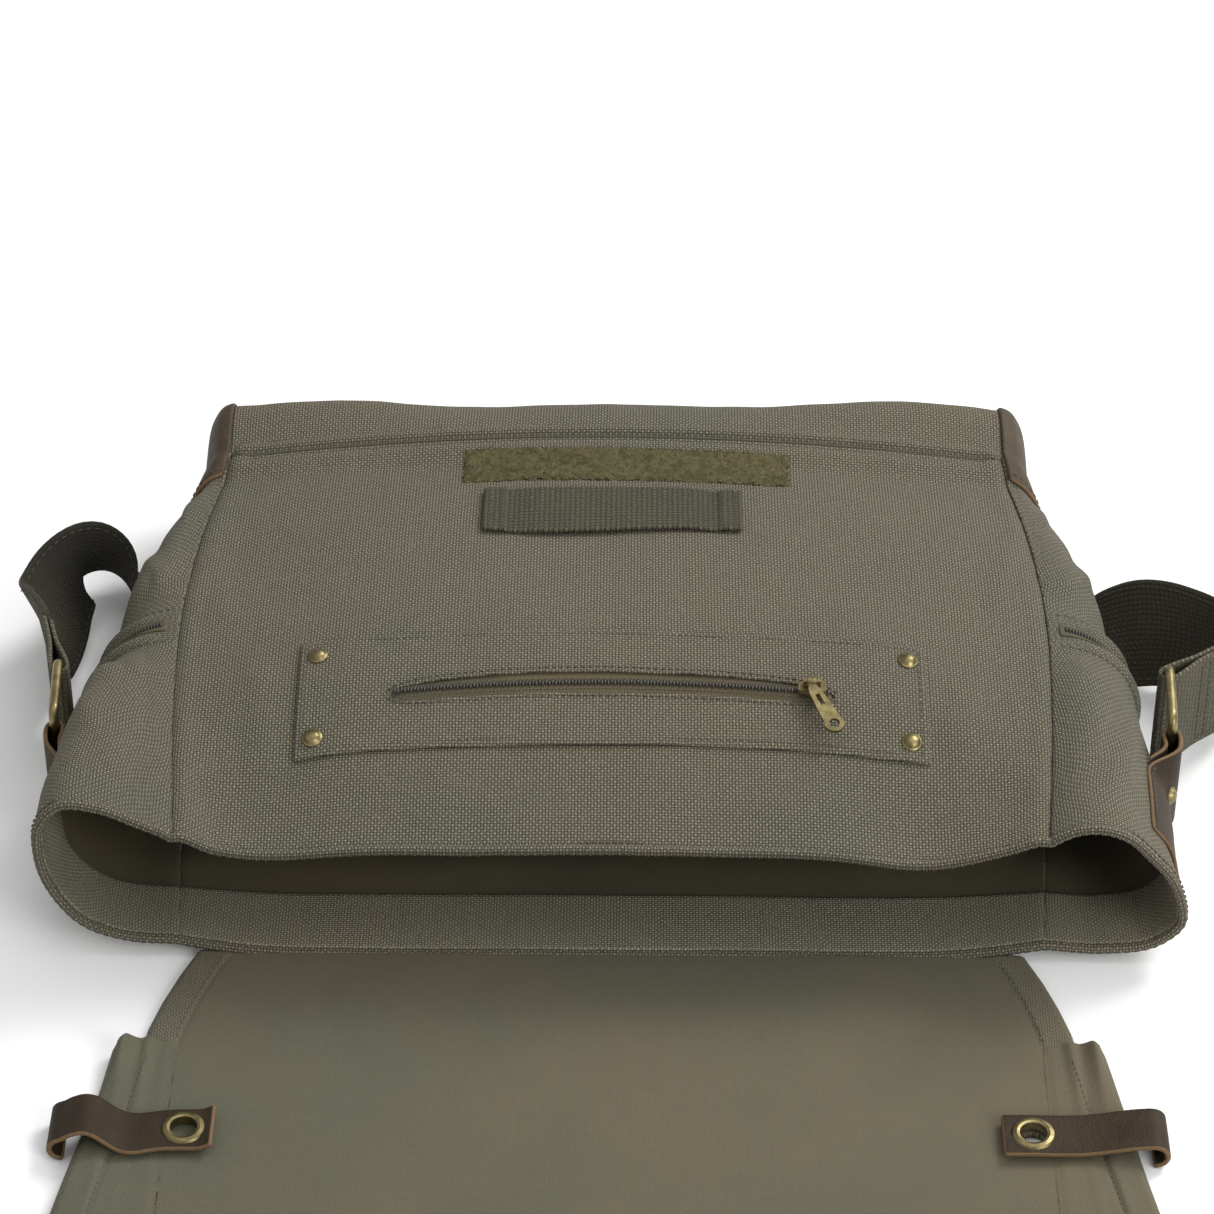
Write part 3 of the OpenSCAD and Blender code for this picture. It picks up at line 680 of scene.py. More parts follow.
# Soft creases of the front panel: from and to in x and y, width and height
FRONT_CREASES = [
    ((-186, 10), (-120, 60), 10, -1.6), ((186, 14), (128, 70), 12, -1.6),
    ((-175, 120), (-196, 230), 9, 1.4), ((172, 130), (194, 235), 9, 1.2),
    ((-150, 30), (-162, 120), 8, 1.3), ((150, 26), (160, 110), 8, 1.2),
    ((-90, 8), (-60, 42), 12, 1.0), ((70, 6), (96, 44), 12, 0.9),
    ((-130, 150), (-60, 190), 16, -0.9), ((110, 140), (60, 185), 16, -0.8)]


def mouth_dip(x):
    return (-7.5 * hump(x + 155, 36) - 10.5 * hump(x - 137, 36)
            + 2.5 * hump(x, 70))


def front(s, y):
    x = s * half_w(y)
    edge = half_w(y) * (1 - np.abs(s))
    calm = smooth(edge / 16) * smooth((PANEL_H - y) / 16)
    z = top_z(x, y) + mouth_dip(x) * hump(y, 42) * smooth(edge / 20)
    at_patch = smooth((150 - np.abs(x)) / 45) * hump(y - ZIP_Y, 44)
    z += at_patch * (top_z(0 * x, y) - top_z(x, y)) * 0.8
    calm = calm * (1 - 0.6 * at_patch)
    z += calm * (1.5 * noise(x, y, 80, 1) + 0.6 * noise(x, y, 30, 2) + 0.15 * noise(x, y, 9, 3))
    for a, b, width, height in FRONT_CREASES:
        z += calm * height * near_line(x, y, a, b, width)
    pucker = hump(edge - 5, 5) * noise(y, 0 * y, 5.5, 4)
    z -= 2.6 * hump(PANEL_H - y - 4.5, 3.2) * smooth(edge / 12)
    z += 0.45 * pucker - 2.4 * hump(edge, 2.4) + 0.7 * hump(edge - 6, 3)
    return np.stack([x, y + MOUTH, z], -1)


# A gusset's section from its lower seam to its upper one: shares of its swell and of the height
FLARE = {
    -1: [(0, 0), (0.34, 0.02), (0.68, 0.16), (0.90, 0.46), (0.97, 0.80), (0.95, 1.10),
         (0.80, 1.26), (0.50, 1.24), (0.20, 1.10), (0, 1)],
    1: [(0, 0), (0.45, -0.04), (0.86, 0.04), (1.02, 0.22), (1.00, 0.42), (0.91, 0.64),
        (0.73, 0.86), (0.56, 1.02), (0.34, 1.10), (0.14, 1.08), (0, 1)]}
ROUND = [(0, 0), (0.45, 0.05), (0.83, 0.22), (1, 0.5), (0.83, 0.78), (0.45, 0.95), (0, 1)]
GUSSET_CREASES = {                              # u, y, u, y, width, height
    -1: [(0.9, 15, 0.62, 95, 6, 2.2), (0.96, 60, 0.70, 118, 5, -1.8), (0.45, 10, 0.52, 90, 9, -2.0),
         (0.93, 160, 0.62, 205, 6, 2.0), (0.80, 190, 0.42, 240, 8, -1.8), (0.95, 215, 0.7, 262, 6, 1.6)],
    1: [(0.94, 12, 0.72, 92, 7, -1.8), (0.86, 20, 0.60, 105, 6, 2.2), (0.5, 6, 0.46, 84, 9, -1.6),
        (0.92, 165, 0.60, 200, 6, 2.0), (0.78, 195, 0.40, 235, 8, -1.6), (0.9, 218, 0.66, 258, 6, 1.6)]}


def section(points, u):
    curve = spaced(points, 200)
    at = np.linspace(0, 1, 200)
    return np.interp(u, at, curve[:, 0]), np.interp(u, at, curve[:, 1])


def gusset(side):
    def surface(u, y):
        hw = half_w(y)
        up, down = top_z(hw, y), under_z(hw, y)
        swell = 3 + (MOUTH_SWELL - 3) * (1 - along(y) ** 1.3) + 9 * smooth((along(y) - 0.55) / 0.3)
        swell = np.where(y > PANEL_H, np.minimum(swell, 0.17 * (up - down)), swell)
        w = (1 - along(y)) ** 1.6
        fo, fu = section(FLARE[side], u)
        ro, ru = section(ROUND, u)
        out, height = w * fo + (1 - w) * ro, w * fu + (1 - w) * ru
        arc = 150 * u
        h, b = (up - down) / 2, np.maximum(swell, 1)
        r, half_turn = (h * h + b * b) / (2 * b), 2 * np.arctan(b / h)
        at_zip = smooth(1 - (np.abs(y - SIDE_ZIP_Y) - 12) / 26)
        turn = half_turn * (2 * u - 1)
        out = out * (1 - at_zip) + at_zip * (b - r + r * np.cos(turn)) / swell
        height = height * (1 - at_zip) + at_zip * (0.5 + r * np.sin(turn) / (2 * h))
        calm = smooth(u / 0.12) * smooth((1 - u) / 0.12) * smooth((PANEL_H + 6 - y) / 30)
        bump = 2.4 * noise(arc, y, 55, 10 + side) + 0.9 * noise(arc, y, 20, 14 + side)
        for u0, y0, u1, y1, width, tall in GUSSET_CREASES[side]:
            bump += tall * near_line(arc, y, (150 * u0, y0), (150 * u1, y1), width)
        span = smooth((u - 0.10) / 0.05) * smooth((0.995 - u) / 0.03)
        off = np.abs(y - SIDE_ZIP_Y)
        welt = span * (4.2 * hump(off - 8, 3.6) - 1.8 * hump(off, 3))
        seam = 1.2 * hump(arc, 2.5) + 2.2 * hump(150 - arc, 2.6)
        bump *= 1 - 0.75 * at_zip
        x = hw + swell * out + (calm * bump + welt * calm - seam) * smooth(swell * out / 8 + 0.2)
        z = down + height * (up - down) + calm * bump * (height - 0.5) * 0.8
        return np.stack([side * x, y + MOUTH, z], -1)
    return surface


def back(s, y):
    x = s * half_w(y)
    edge = half_w(y) * (1 - np.abs(s))
    z = under_z(x, y) + smooth(edge / 15) * smooth((PANEL_H - y) / 15) * 0.5 * (1 + noise(x, y, 60, 20))
    return np.stack([x, y + MOUTH, z + 0 * y], -1)


def bottom(s, a):
    """The rounded end, with a from 1 at the front seam to -1 at the back one."""
    y0 = np.full_like(s, PANEL_H)
    x = s * half_w(y0)
    c = flat_top_z(x, y0) / 2
    turn = a * np.pi / 2
    lift = np.sign(turn) * np.abs(np.sin(turn)) ** 0.7
    y = PANEL_H + END * np.cos(turn).clip(0) ** 0.7
    z = np.where(lift > 0, c + c * lift + end_puff(s, a), c + (c - flat_under_z(x, y0)) * lift)
    edge = half_w(y0) * (1 - np.abs(s))
    calm = smooth(edge / 14) * smooth((1 - np.abs(a)) / 0.2)
    wave = 0.9 * noise(x, a * 50, 60, 30) + 0.4 * noise(x, a * 50, 16, 31)
    y = y + calm * wave * 0.8
    z = z + calm * wave * np.maximum(lift, 0)
    return np.stack([x, y + MOUTH, z], -1)


INSIDE = (0, MOUTH + 140, 40)
SURFACE = {"left": gusset(-1), "right": gusset(1)}
FINE_S = np.r_[-1, -0.996, -0.99, -0.98, -0.965, np.linspace(-0.95, 0.95, 121), 0.965, 0.98, 0.99, 0.996, 1]
ROWS = np.linspace(1.0, PANEL_H, 104)
SIDE_ROWS = np.r_[np.linspace(1.0, 118, 48), np.linspace(119.5, 148.5, 30), np.linspace(151, PANEL_H, 50),
                  PANEL_H + END * np.sin(np.radians([6, 12, 18, 25, 33, 42, 51, 61, 71, 80, 86, 89]))]
SIDE_U = np.r_[0, 0.012, 0.03, np.linspace(0.05, 0.95, 76), 0.97, 0.988, 1]


def add_body():
    solid = (CANVAS, CANVAS, CANVAS)
    P = grid(front, FINE_S, ROWS)
    piece(cloth("front_cloth", P, 0, CANVAS_T, INSIDE, solid), "bag", "canvas", "front_panel")
    P = grid(back, np.linspace(-1, 1, 90), np.linspace(1, PANEL_H, 80))
    piece(cloth("back_cloth", P, 0, CANVAS_T - 0.1, INSIDE, solid), "bag", "canvas", "back_panel")
    # The gussets take the canvas's darker copy, painted shade on the sides.
    for nm, surface in SURFACE.items():
        piece(cloth("gusset_cloth_" + nm, grid(surface, SIDE_U, SIDE_ROWS), 0, CANVAS_T, INSIDE,
                    (CANVAS_SIDE_SHADED,) * 3), "bag", "canvas", "gusset_" + nm)
    lap = 1.7                                   # the bottom panel's folded edge lies over the front
    a = np.r_[1.0, 0.994, 0.985, np.linspace(0.97, -1, 70)]
    P = grid(bottom, FINE_S, a)
    piece(cloth("bottom_cloth", P, 0, CANVAS_T, INSIDE, solid), "bag", "canvas", "bottom_panel")
    edge_y = np.linspace(-2.5, 5.5, 9)
    fold = lap * np.sqrt(np.clip(1 - ((edge_y - 1.5) / 4.2) ** 2, 0, 1))
    s, ey = np.meshgrid(FINE_S, edge_y)
    strip = front(s, PANEL_H + np.minimum(ey, 0))
    strip[..., 1] = PANEL_H + ey + MOUTH
    past = bottom(s, np.ones_like(s) * 1.0)
    strip[..., 2] = np.minimum(np.maximum(strip[..., 2], past[..., 2] - 2.2), past[..., 2] + 0.4)
    strip[..., 2] -= np.maximum(ey, 0) ** 2 * 0.035
    top = strip + UP * (CANVAS_T + fold[:, None, None])
    under = strip + UP * (CANVAS_T - 0.5)
    if (normals(top)[..., 2]).mean() < 0:
        top, under = top[:, ::-1], under[:, ::-1]
    piece(shell("bottom_fold", top, under, solid), "bag", "canvas")
    # A thin thread-coloured tube along the bottom fold's near edge: a painted shadow line under the fold.
    s = np.linspace(-0.995, 0.995, 400)
    line = front(s, np.full(400, PANEL_H - 3.0)) + np.array([0, 0, CANVAS_T + 0.25])
    piece(tube("bottom_fold_shadow_line", line, 0.55, 8, [THREAD]), "bag", "canvas")


def add_lining():
    """The facing, a band of canvas inside the mouth, and the lining beyond it."""
    rows = np.r_[np.linspace(1.5, FACING, 22), FACING + 0.8, np.linspace(FACING + 3, PANEL_H - 4, 60)]
    # The facing takes the canvas's lighter copy, painted light inside the mouth.
    # The lining inside the bag takes the lining's darker copy, painted shade.
    mats = (LINING_INSIDE_SHADED, FACING_CANVAS_LIT, LINING_INSIDE_SHADED, FACING_CANVAS_LIT)
    step = np.where(rows <= FACING, 0.9, 0.0)[:, None, None]
    todo = {"lining_front": (front, np.linspace(-0.999, 0.999, 110)),
            "lining_back": (back, np.linspace(-0.999, 0.999, 110)),
            "lining_left": (SURFACE["left"], np.linspace(0.001, 0.999, 60)),
            "lining_right": (SURFACE["right"], np.linspace(0.001, 0.999, 60))}
    for name, (surface, us) in todo.items():
        P = grid(surface, us, rows)
        n = normals(P)
        if (n * (P - np.array(INSIDE))).sum(2).mean() > 0:
            P, n = P[:, ::-1], -n[:, ::-1]
        u, y = np.meshgrid(us, rows)
        sag = 1.6 * (1 + noise(u * 150, y, 34, 40)) + 0.7 * (1 + noise(u * 150, y, 13, 41))
        loose = smooth((y - FACING - 4) / 20) * sag
        inner = P + n * (0.15 + 1.0 + step + loose[..., None])
        mask = ((y[:-1, :-1] + y[1:, 1:]) / 2 < FACING)
        obj = shell(name, inner, P + n * 0.15, mats, mask)
        nodes = ("mouth_facing", "body_lining") if name == "lining_front" else ()
        piece(obj, "bag", "lining", *nodes)
    # The bottom's lining also takes the lining's darker copy, painted shade.
    P = grid(bottom, np.linspace(-0.97, 0.97, 80), np.linspace(0.94, -0.94, 30))
    piece(cloth("lining_bottom", P, -1.2, -0.2, INSIDE, (LINING_INSIDE_SHADED,) * 3), "bag", "lining")


def mouth_rim(step=1.0):
    """The closed line round the mouth."""
    parts = ((front, -1, 1, 420), (SURFACE["right"], 1, 0, 170),
             (back, 1, -1, 420), (SURFACE["left"], 0, 1, 170))
    p = np.concatenate([line_on(face, np.linspace(a, b, n), 0.5)[0][:-1] for face, a, b, n in parts])
    for _ in range(6):                          # eases the corners at the seams
        p = (np.roll(p, 1, 0) + 2 * p + np.roll(p, -1, 0)) / 4
    s = run_along(np.r_[p, p[:1]])
    even = np.arange(0, s[-1] - step / 2, step)
    closed = np.r_[p, p[:1]]
    return np.stack([np.interp(even, s, closed[:, c]) for c in range(3)], 1)


def add_mouth_hem():
    path = mouth_rim()
    centre = np.array([0, MOUTH, 38])
    out = path - centre
    out[:, 1] = 0
    out = unit(out)
    path = path + out * 0.5 + np.array([0, -0.4, 0])
    k = np.arange(len(path))[:, None]
    a = np.linspace(0, 2 * np.pi, 14, endpoint=False)[None]
    twist = 1 + 0.08 * np.sin(2 * np.pi * k / 4.0 + 2 * a)
    obj = tube("mouth_hem", path, 2.2 * twist, 14, [CANVAS], closed=True)
    piece(obj, "bag", "canvas")
    thread = Thread()
    for sign in (1, -1):                        # a row of stitches on the hem's outside and inside
        thread.row(path + sign * out * 2.0 + np.array([0, 2.6, 0]), sign * out, 3.0, 2.3, 0.5)
    piece(thread.make("mouth_stitches", THREAD), "bag", "canvas")


add_body()
add_lining()
add_mouth_hem()

# ---- front pocket patch, zip and trims on the front panel ----


def applied(obj, kind, **values):
    """Puts a modifier on a piece and makes its result the piece's mesh."""
    m = obj.modifiers.new("applied", kind)
    for k, v in values.items():
        setattr(m, k, v)
    mesh = bpy.data.meshes.new_from_object(obj.evaluated_get(bpy.context.evaluated_depsgraph_get()))
    obj.modifiers.clear()
    old, obj.data = obj.data, mesh
    bpy.data.meshes.remove(old)
    obj.data.name = obj.name
    return obj


def front_xy(x, y):
    return front(x / half_w(y), y)


def zip_line(x):
    return ZIP_Y + 6 * (1 - (x / SLIDER_X) ** 2)


def patch_edge(x, share):
    return PATCH_Y0 + PATCH_H * share + 5 * (1 - (x / PATCH_HALF) ** 2)


def zip_gape(x):
    """Half the width of the patch's opening over the zip."""
    return 5.4 * np.sqrt(1 - (np.abs(x) / ZIP_HALF).clip(0, 1) ** 6)


def add_patch():
    inner = np.linspace(-ZIP_HALF, ZIP_HALF, 101)
    outer = np.linspace(ZIP_HALF + 2, PATCH_HALF, 18)
    xs = np.r_[-outer[::-1], inner, outer]
    gape = np.where(np.abs(xs) < ZIP_HALF, zip_gape(xs), 0) + 0.35
    k = np.linspace(0, 1, 15)[:, None]
    lower = patch_edge(xs, 0) * (1 - k) + (zip_line(xs) - gape) * k
    upper = (zip_line(xs) + gape) * (1 - k) + patch_edge(xs, 1) * k
    y = np.r_[lower, upper]
    x = np.broadcast_to(xs, y.shape)
    P = front_xy(x, y)
    off = np.minimum(np.abs(y - zip_line(xs) - gape), np.abs(y - zip_line(xs) + gape))
    near = np.where(np.abs(xs) < ZIP_HALF + 2, 1, 0) * hump(off, 2.6)
    rim = np.minimum.reduce([PATCH_HALF - np.abs(x), y - patch_edge(x, 0), patch_edge(x, 1) - y])
    P[..., 2] += CANVAS_T + 0.15 + 0.7 * near + 0.35 * hump(rim - 2, 2.4) \
        + 0.25 * noise(x, y, 12, 50)
    n, m = y.shape
    idx = np.arange(n * m).reshape(n, m)
    quads = quads_of(idx)
    keep = np.ones((n - 1, m - 1), bool)
    keep[14, np.abs((xs[1:] + xs[:-1]) / 2) < ZIP_HALF] = False
    flat = np.stack([x, y, 0 * x], -1).reshape(-1, 3)
    obj = make("patch_cloth", P.reshape(-1, 3), quads[keep].tolist(), [CANVAS], flat=flat)
    applied(obj, "SOLIDIFY", thickness=1.25 * MM, offset=1.0)
    applied(obj, "BEVEL", width=0.45 * MM, segments=2, limit_method="ANGLE")
    obj.data.polygons.foreach_set("use_smooth", np.ones(len(obj.data.polygons), bool))
    piece(obj, "bag", "canvas", "pocket_patch")

    lift = CANVAS_T + 1.6
    thread = Thread()
    up = lambda x, y, h: (front_xy(x, y) + UP * h, np.broadcast_to(UP, (len(x), 3)))
    inset = 2.8
    q = inset / PATCH_H
    xx = np.linspace(-PATCH_HALF + inset, PATCH_HALF - inset, 200)
    for share in (q, 1 - q):
        thread.row(*up(xx, patch_edge(xx, share), lift), pitch=3.0, length=2.3, radius=0.3)
    for s in (-1, 1):
        x1 = np.full(60, s * (PATCH_HALF - inset))
        thread.row(*up(x1, np.linspace(patch_edge(x1[0], q), patch_edge(x1[0], 1 - q), 60), lift))
    xx = np.linspace(-ZIP_HALF - 2, ZIP_HALF + 2, 200)
    g = zip_gape(xx) + 2.6
    for s in (-1, 1):
        thread.row(*up(xx, zip_line(xx) + s * g, lift + 0.4), pitch=3.2, length=2.4)
    piece(thread.make("patch_stitches", THREAD), "bag", "canvas")


def add_zip():
    coil_z = low("patch_slider")[2] - 1.1
    xs = np.linspace(-ZIP_HALF - 3, ZIP_HALF + 3, 120)
    q = np.linspace(-1, 1, 15)
    x, s = np.meshgrid(xs, q)
    P = front_xy(x, zip_line(x) + s * 7.5)
    ridge = (coil_z - 0.9 - P[..., 2] - CANVAS_T).clip(0.3) * np.cos(np.pi / 2 * s) ** 1.5
    ridge *= smooth((ZIP_HALF + 2 - np.abs(x)) / 8)
    top = P + UP * (CANVAS_T + 0.2 + ridge)[..., None]
    if normals(top)[..., 2].mean() < 0:
        top = top[:, ::-1]
    tape = shell("zip_tape", top, top - UP * 0.5, (TAPE,) * 3)
    piece(tape, "bag", "zip_tape", "patch_zip_tape")
    at = np.arange(-ZIP_HALF + 2, ZIP_HALF - 2, 1.45)
    o = np.stack([at, zip_line(at) + MOUTH + 0.35 * (-1) ** np.arange(len(at)),
                  np.maximum(front_xy(at, zip_line(at))[:, 2] + CANVAS_T + 0.9, coil_z)], 1)
    one = np.ones((len(at), 1))
    obj = copies("zip_teeth", bead(3, 6), o, one * [0.35, 4.9, 0], one * [0.62, 0, 0], one * [0, 0, 0.85],
                 [COIL])
    piece(obj, "bag", "zip_coil", "patch_zip_coil")
    thread = Thread()
    for s in (-3.6, 3.6):
        xx = np.linspace(-ZIP_HALF + 2, ZIP_HALF - 2, 200)
        height = np.maximum(front_xy(xx, zip_line(xx))[:, 2] + 1.9, coil_z - 1.2)
        o = np.stack([xx, zip_line(xx) + s + MOUTH, height], 1)
        thread.row(o, upward(o), 1.6, 1.3, 0.28)
    piece(thread.make("zip_tape_threads", THREAD), "bag", "zip_tape")


RIVET = lathe([(0, 2.7), (1.3, 2.6), (2.5, 2.2), (3.4, 1.5), (3.9, 0.8), (4.15, 0.55), (4.7, 0.5),
               (4.9, 0.15), (4.6, -0.3), (0, -0.3)], 28)


def add_rivets():
    at = [(s * (PATCH_HALF - 8), patch_edge(PATCH_HALF - 8, q)) for s in (-1, 1) for q in (0.155, 0.845)]
    x, y = np.array(at).T
    p, n = line_on(front, x / half_w(y), y)
    n *= np.sign(n[:, 2:])
    X = np.cross([0, 1.0, 0], n)
    X = unit(X)
    obj = copies("patch_rivet_domes", RIVET, p + n * (CANVAS_T + 1.6), X * 0.95, np.cross(n, X) * 0.95, n,
                 [BRASS])
    piece(obj, "bag", "brass", "patch_rivets")


def add_trims():
    x0, x1 = low("loop_strip")[0], high("loop_strip")[0]
    y0, y1 = 241, 266
    xs, ys = np.linspace(x0, x1, 240), np.linspace(y0, y1, 44)
    x, y = np.meshgrid(xs, ys)
    edge = np.minimum.reduce([x - x0, x1 - x, y - y0, y1 - y])
    rough = np.random.RandomState(7).uniform(0, 1, x.shape)
    ragged = (1 - smooth(edge / 2))
    P = front_xy(x + ragged * (rough - 0.5) * 1.6, y + ragged * (rough[::-1] - 0.5) * 1.6)
    pile = 1.0 + 0.9 * rough + 0.6 * noise(x, y, 3.2, 60) - 0.9 * (1 - smooth(edge / 2.5))
    top = P + UP * (CANVAS_T + pile.clip(0.25))[..., None]
    under = P + np.array([0, 0, CANVAS_T - 0.2])
    piece(shell("loop_pile", top, under, (FUZZ,) * 3), "bag", "hook_and_loop", "loop_strip")
    rng = np.random.RandomState(8)
    count = 7500
    hx, hy = rng.uniform(x0 + 0.4, x1 - 0.4, count), rng.uniform(y0 + 0.4, y1 - 0.4, count)
    o = front_xy(hx, hy) + np.stack([0 * hx, 0 * hx, CANVAS_T + rng.uniform(0.8, 2.1, count)], 1)
    d = rng.normal(0, 1, (count, 3)) * [1, 1, 0.7]
    d = unit(d)
    y_axis = np.cross(d, rng.normal(0, 1, (count, 3)))
    y_axis = unit(y_axis)
    obj = copies("loop_hairs", bead(2, 4), o, d * rng.uniform(1.0, 2.3, (count, 1)), y_axis * 0.08,
                 np.cross(d, y_axis) * 0.08, [FUZZ])
    piece(obj, "bag", "hook_and_loop")

    x0, x1, y0, y1 = -61, 59, 194, 230
    xs = np.r_[np.linspace(x0, x0 + 2, 4), np.linspace(x0 + 2.7, x1 - 2.7, 170), np.linspace(x1 - 2, x1, 4)]
    ys = np.linspace(y0, y1, 64)
    x, y = np.meshgrid(xs, ys)
    end = np.minimum(x - x0, x1 - x)
    free = smooth((end - 11) / 16)
    row = np.pi * (y - y0) / 2.45
    ribs = 0.16 * np.sin(2 * row) + 0.10 * np.sin(2 * np.pi * x / 3.1) * np.sin(row)
    lift = CANVAS_T + 0.15 + 1.3 * (1 - smooth((end - 9) / 2.5)) + free * (1.5 + 0.5 * noise(x, y, 40, 61))
    P = front_xy(x, y + free * 0.8 * np.sin(x / 26))
    top = P + UP * (lift + 1.7 + ribs * smooth(end / 1.5))[..., None]
    under = P + UP * (lift - 0.1 + 0 * x)[..., None]
    piece(shell("webbing_strip", top, under, (STRIP_WEB,) * 3), "bag", "webbing", "webbing_loop")
    thread = Thread()
    for s, edge_x in ((1, x0), (-1, x1)):
        for inset in (2.2, 8.6):
            yy = np.linspace(y0 + 1.5, y1 - 1.5, 60)
            xx = np.full(60, edge_x + s * inset)
            q = front_xy(xx, yy) + UP * (CANVAS_T + 3.2)
            thread.row(q, upward(q), 2.9, 2.2, 0.34)
    piece(thread.make("webbing_strip_stitches", THREAD), "bag", "webbing")


add_patch()
add_zip()
add_rivets()
add_trims()

# ---- leather, zips and hardware on the gussets ----


def outward(surface, us, vs):
    p, n = line_on(surface, us, vs)
    flip = np.sign((n * (p - np.array(INSIDE))).sum(-1, keepdims=True))
    return p, n * flip


def add_corner(nm):
    us, k = np.linspace(0.02, 0.985, 40), np.linspace(0, 1, 34)
    u, v = np.meshgrid(us, k)
    start = 265 - 10 * np.sin(np.pi * (1 - u) * 0.8)
    end = PANEL_H + END * 0.985
    y = start + (end - start) * (v ** 0.9)
    P = SURFACE[nm](u, y)
    piece(cloth("corner_hide_" + nm, P, CANVAS_T - 0.3, CANVAS_T + 1.9, INSIDE, (CORNER_HIDE,) * 3),
          "bag", "leather", "corner_leather_" + nm)
    uu = np.linspace(0.03, 0.975, 90)
    p, n = outward(SURFACE[nm], uu, 265 - 10 * np.sin(np.pi * (1 - uu) * 0.8))
    piece(tube("corner_edge_" + nm, p + n * (CANVAS_T + 0.9), 1.0, 10, [RAW_EDGE]), "bag", "leather")
    thread = Thread()
    uu = np.linspace(0.05, 0.95, 90)
    p, n = outward(SURFACE[nm], uu, 265 - 10 * np.sin(np.pi * (1 - uu) * 0.8) + 3.5)
    thread.row(p + n * (CANVAS_T + 1.9), n)
    piece(thread.make("corner_stitches_" + nm, THREAD), "bag", "leather")


def add_side_zip(nm):
    surface = SURFACE[nm]
    us, vs = np.linspace(0.12, 0.96, 60), np.linspace(-4.2, 4.2, 9)
    P = grid(surface, us, SIDE_ZIP_Y + vs)
    piece(cloth("side_tape_" + nm, P, CANVAS_T - 0.2, CANVAS_T + 0.9, INSIDE, (TAPE,) * 3), "bag", "zip_tape",
          "side_zip_tape_" + nm)
    p, n = outward(surface, np.linspace(0.13, 0.955, 400), SIDE_ZIP_Y)
    s = run_along(p)
    at = np.arange(1, s[-1] - 1, 1.45)
    get = lambda a: np.stack([np.interp(at, s, a[:, c]) for c in range(3)], 1)
    o, z = get(p), get(n)
    y = np.tile([0, 1.0, 0], (len(at), 1))
    x = np.cross(y, z)
    obj = copies("side_teeth_" + nm, bead(3, 6), o + z * (CANVAS_T + 1.5), y * 4.4, x * 0.62, z * 0.8, [COIL])
    piece(obj, "bag", "zip_coil", "side_zip_coil_" + nm)
    thread = Thread()
    for off in (-12, 12):
        q, m = outward(surface, np.linspace(0.12, 0.97, 160), SIDE_ZIP_Y + off)
        thread.row(q + m * CANVAS_T, m)
    piece(thread.make("side_zip_stitches_" + nm, THREAD), "bag", "canvas")


def side_x(nm, y, z):
    """How far out the gusset's cloth is at height z, y from the mouth."""
    p = SURFACE[nm](np.linspace(0.03, 0.97, 120), np.full(120, float(y)))
    last = int(np.argmax(p[:, 2]))
    return np.interp(z, p[:last, 2], np.abs(p[:last, 0])) + CANVAS_T


def add_strap_tab(nm, side):
    heights = np.linspace(-20.5, 20.5, 24)
    turn = np.linspace(0, np.pi, 9)
    columns = []
    for q in heights:
        z = RING_Z + q
        run = [(side_x(nm, y, z) + 1.2, y) for y in (20, 30, 40, 50, 60)]
        run += [(BAR_X + 3.0, RING_Y - 9)]
        run += [(BAR_X + 3.55 * math.cos(a), RING_Y + 3.55 * math.sin(a)) for a in turn]
        run += [(BAR_X - 3.3, RING_Y - 8), (min(BAR_X - 2.6, side_x(nm, 66, z) + 2.2), RING_Y - 17)]
        xy = spaced(run, 90)
        columns.append(np.stack([side * xy[:, 0], xy[:, 1] + MOUTH, np.full(90, z)], 1))
    P = np.stack(columns)
    if (normals(P)[:, :40] * (P - np.array(INSIDE))[:, :40]).sum(2).mean() < 0:
        P = P[::-1]
    n = normals(P)
    piece(shell("ring_tab_" + nm, P + n * 0.95, P - n * 0.95, (LEATHER, RAW_EDGE, LEATHER)), "bag", "leather",
          "strap_tab_" + nm)
    thread = Thread()
    for row in (1, -2):
        thread.row(P[row, 6:40] + n[row, 6:40] * 0.95, n[row, 6:40])
    piece(thread.make("ring_tab_stitches_" + nm, THREAD), "bag", "leather")
    k = np.argmin(np.abs(P[12, :50, 1] - MOUTH - RING_Y + 19))
    o, z = P[12, k] + n[12, k] * 0.9, n[12, k]
    x = np.cross([0, 0, 1.0], z)
    x /= np.linalg.norm(x)
    obj = copies("tab_rivet_dome_" + nm, RIVET, o[None], x[None] * 0.85, np.cross(z, x)[None] * 0.85, z[None],
                 [BRASS])
    piece(obj, "bag", "brass", *(("tab_rivets",) if side < 0 else ()))


for nm, side in (("left", -1), ("right", 1)):
    add_corner(nm)
    add_side_zip(nm)
    add_strap_tab(nm, side)

# ---- flap ----

HINGE_AT, FOLD_AT = (-1, 10), (FLAP_TOP - 9, FLAP_TOP + 9)     # where the flap bends, from its hinge
EYELET_X = (low("eyelet_right")[0] + high("eyelet_right")[0]) / 2
CURL_X = high("flap_tab_right")[0] - 6.4


def half_flap(t):
    side = np.interp(t, [-2, 0, 14, 30, 45, WING_START, FLAP_L], [181.5, 182, 188, 193.5, 197.5, 200, 200])
    over = np.clip((t - (FLAP_L - 24)) / 24, 0, 1)
    return side - 24 + 24 * np.sqrt(1 - over**2)


def wing_x(t):
    side = FLAP_HALF + WING_W * np.clip(0.3 + 0.7 * (t - WING_START) / 120, 0, 1)
    return side - (WING_W - 0.5) * smooth((t - (FLAP_L - 72)) / 32) ** 1.5


def flap_lift(x, t):
    ripple = 1.4 * (1 + noise(x, t, 90, 70)) * smooth((t - 10) / 60) + 0.25 * (1 + noise(x, t, 30, 71))
    return 0.15 + ripple * 0.5


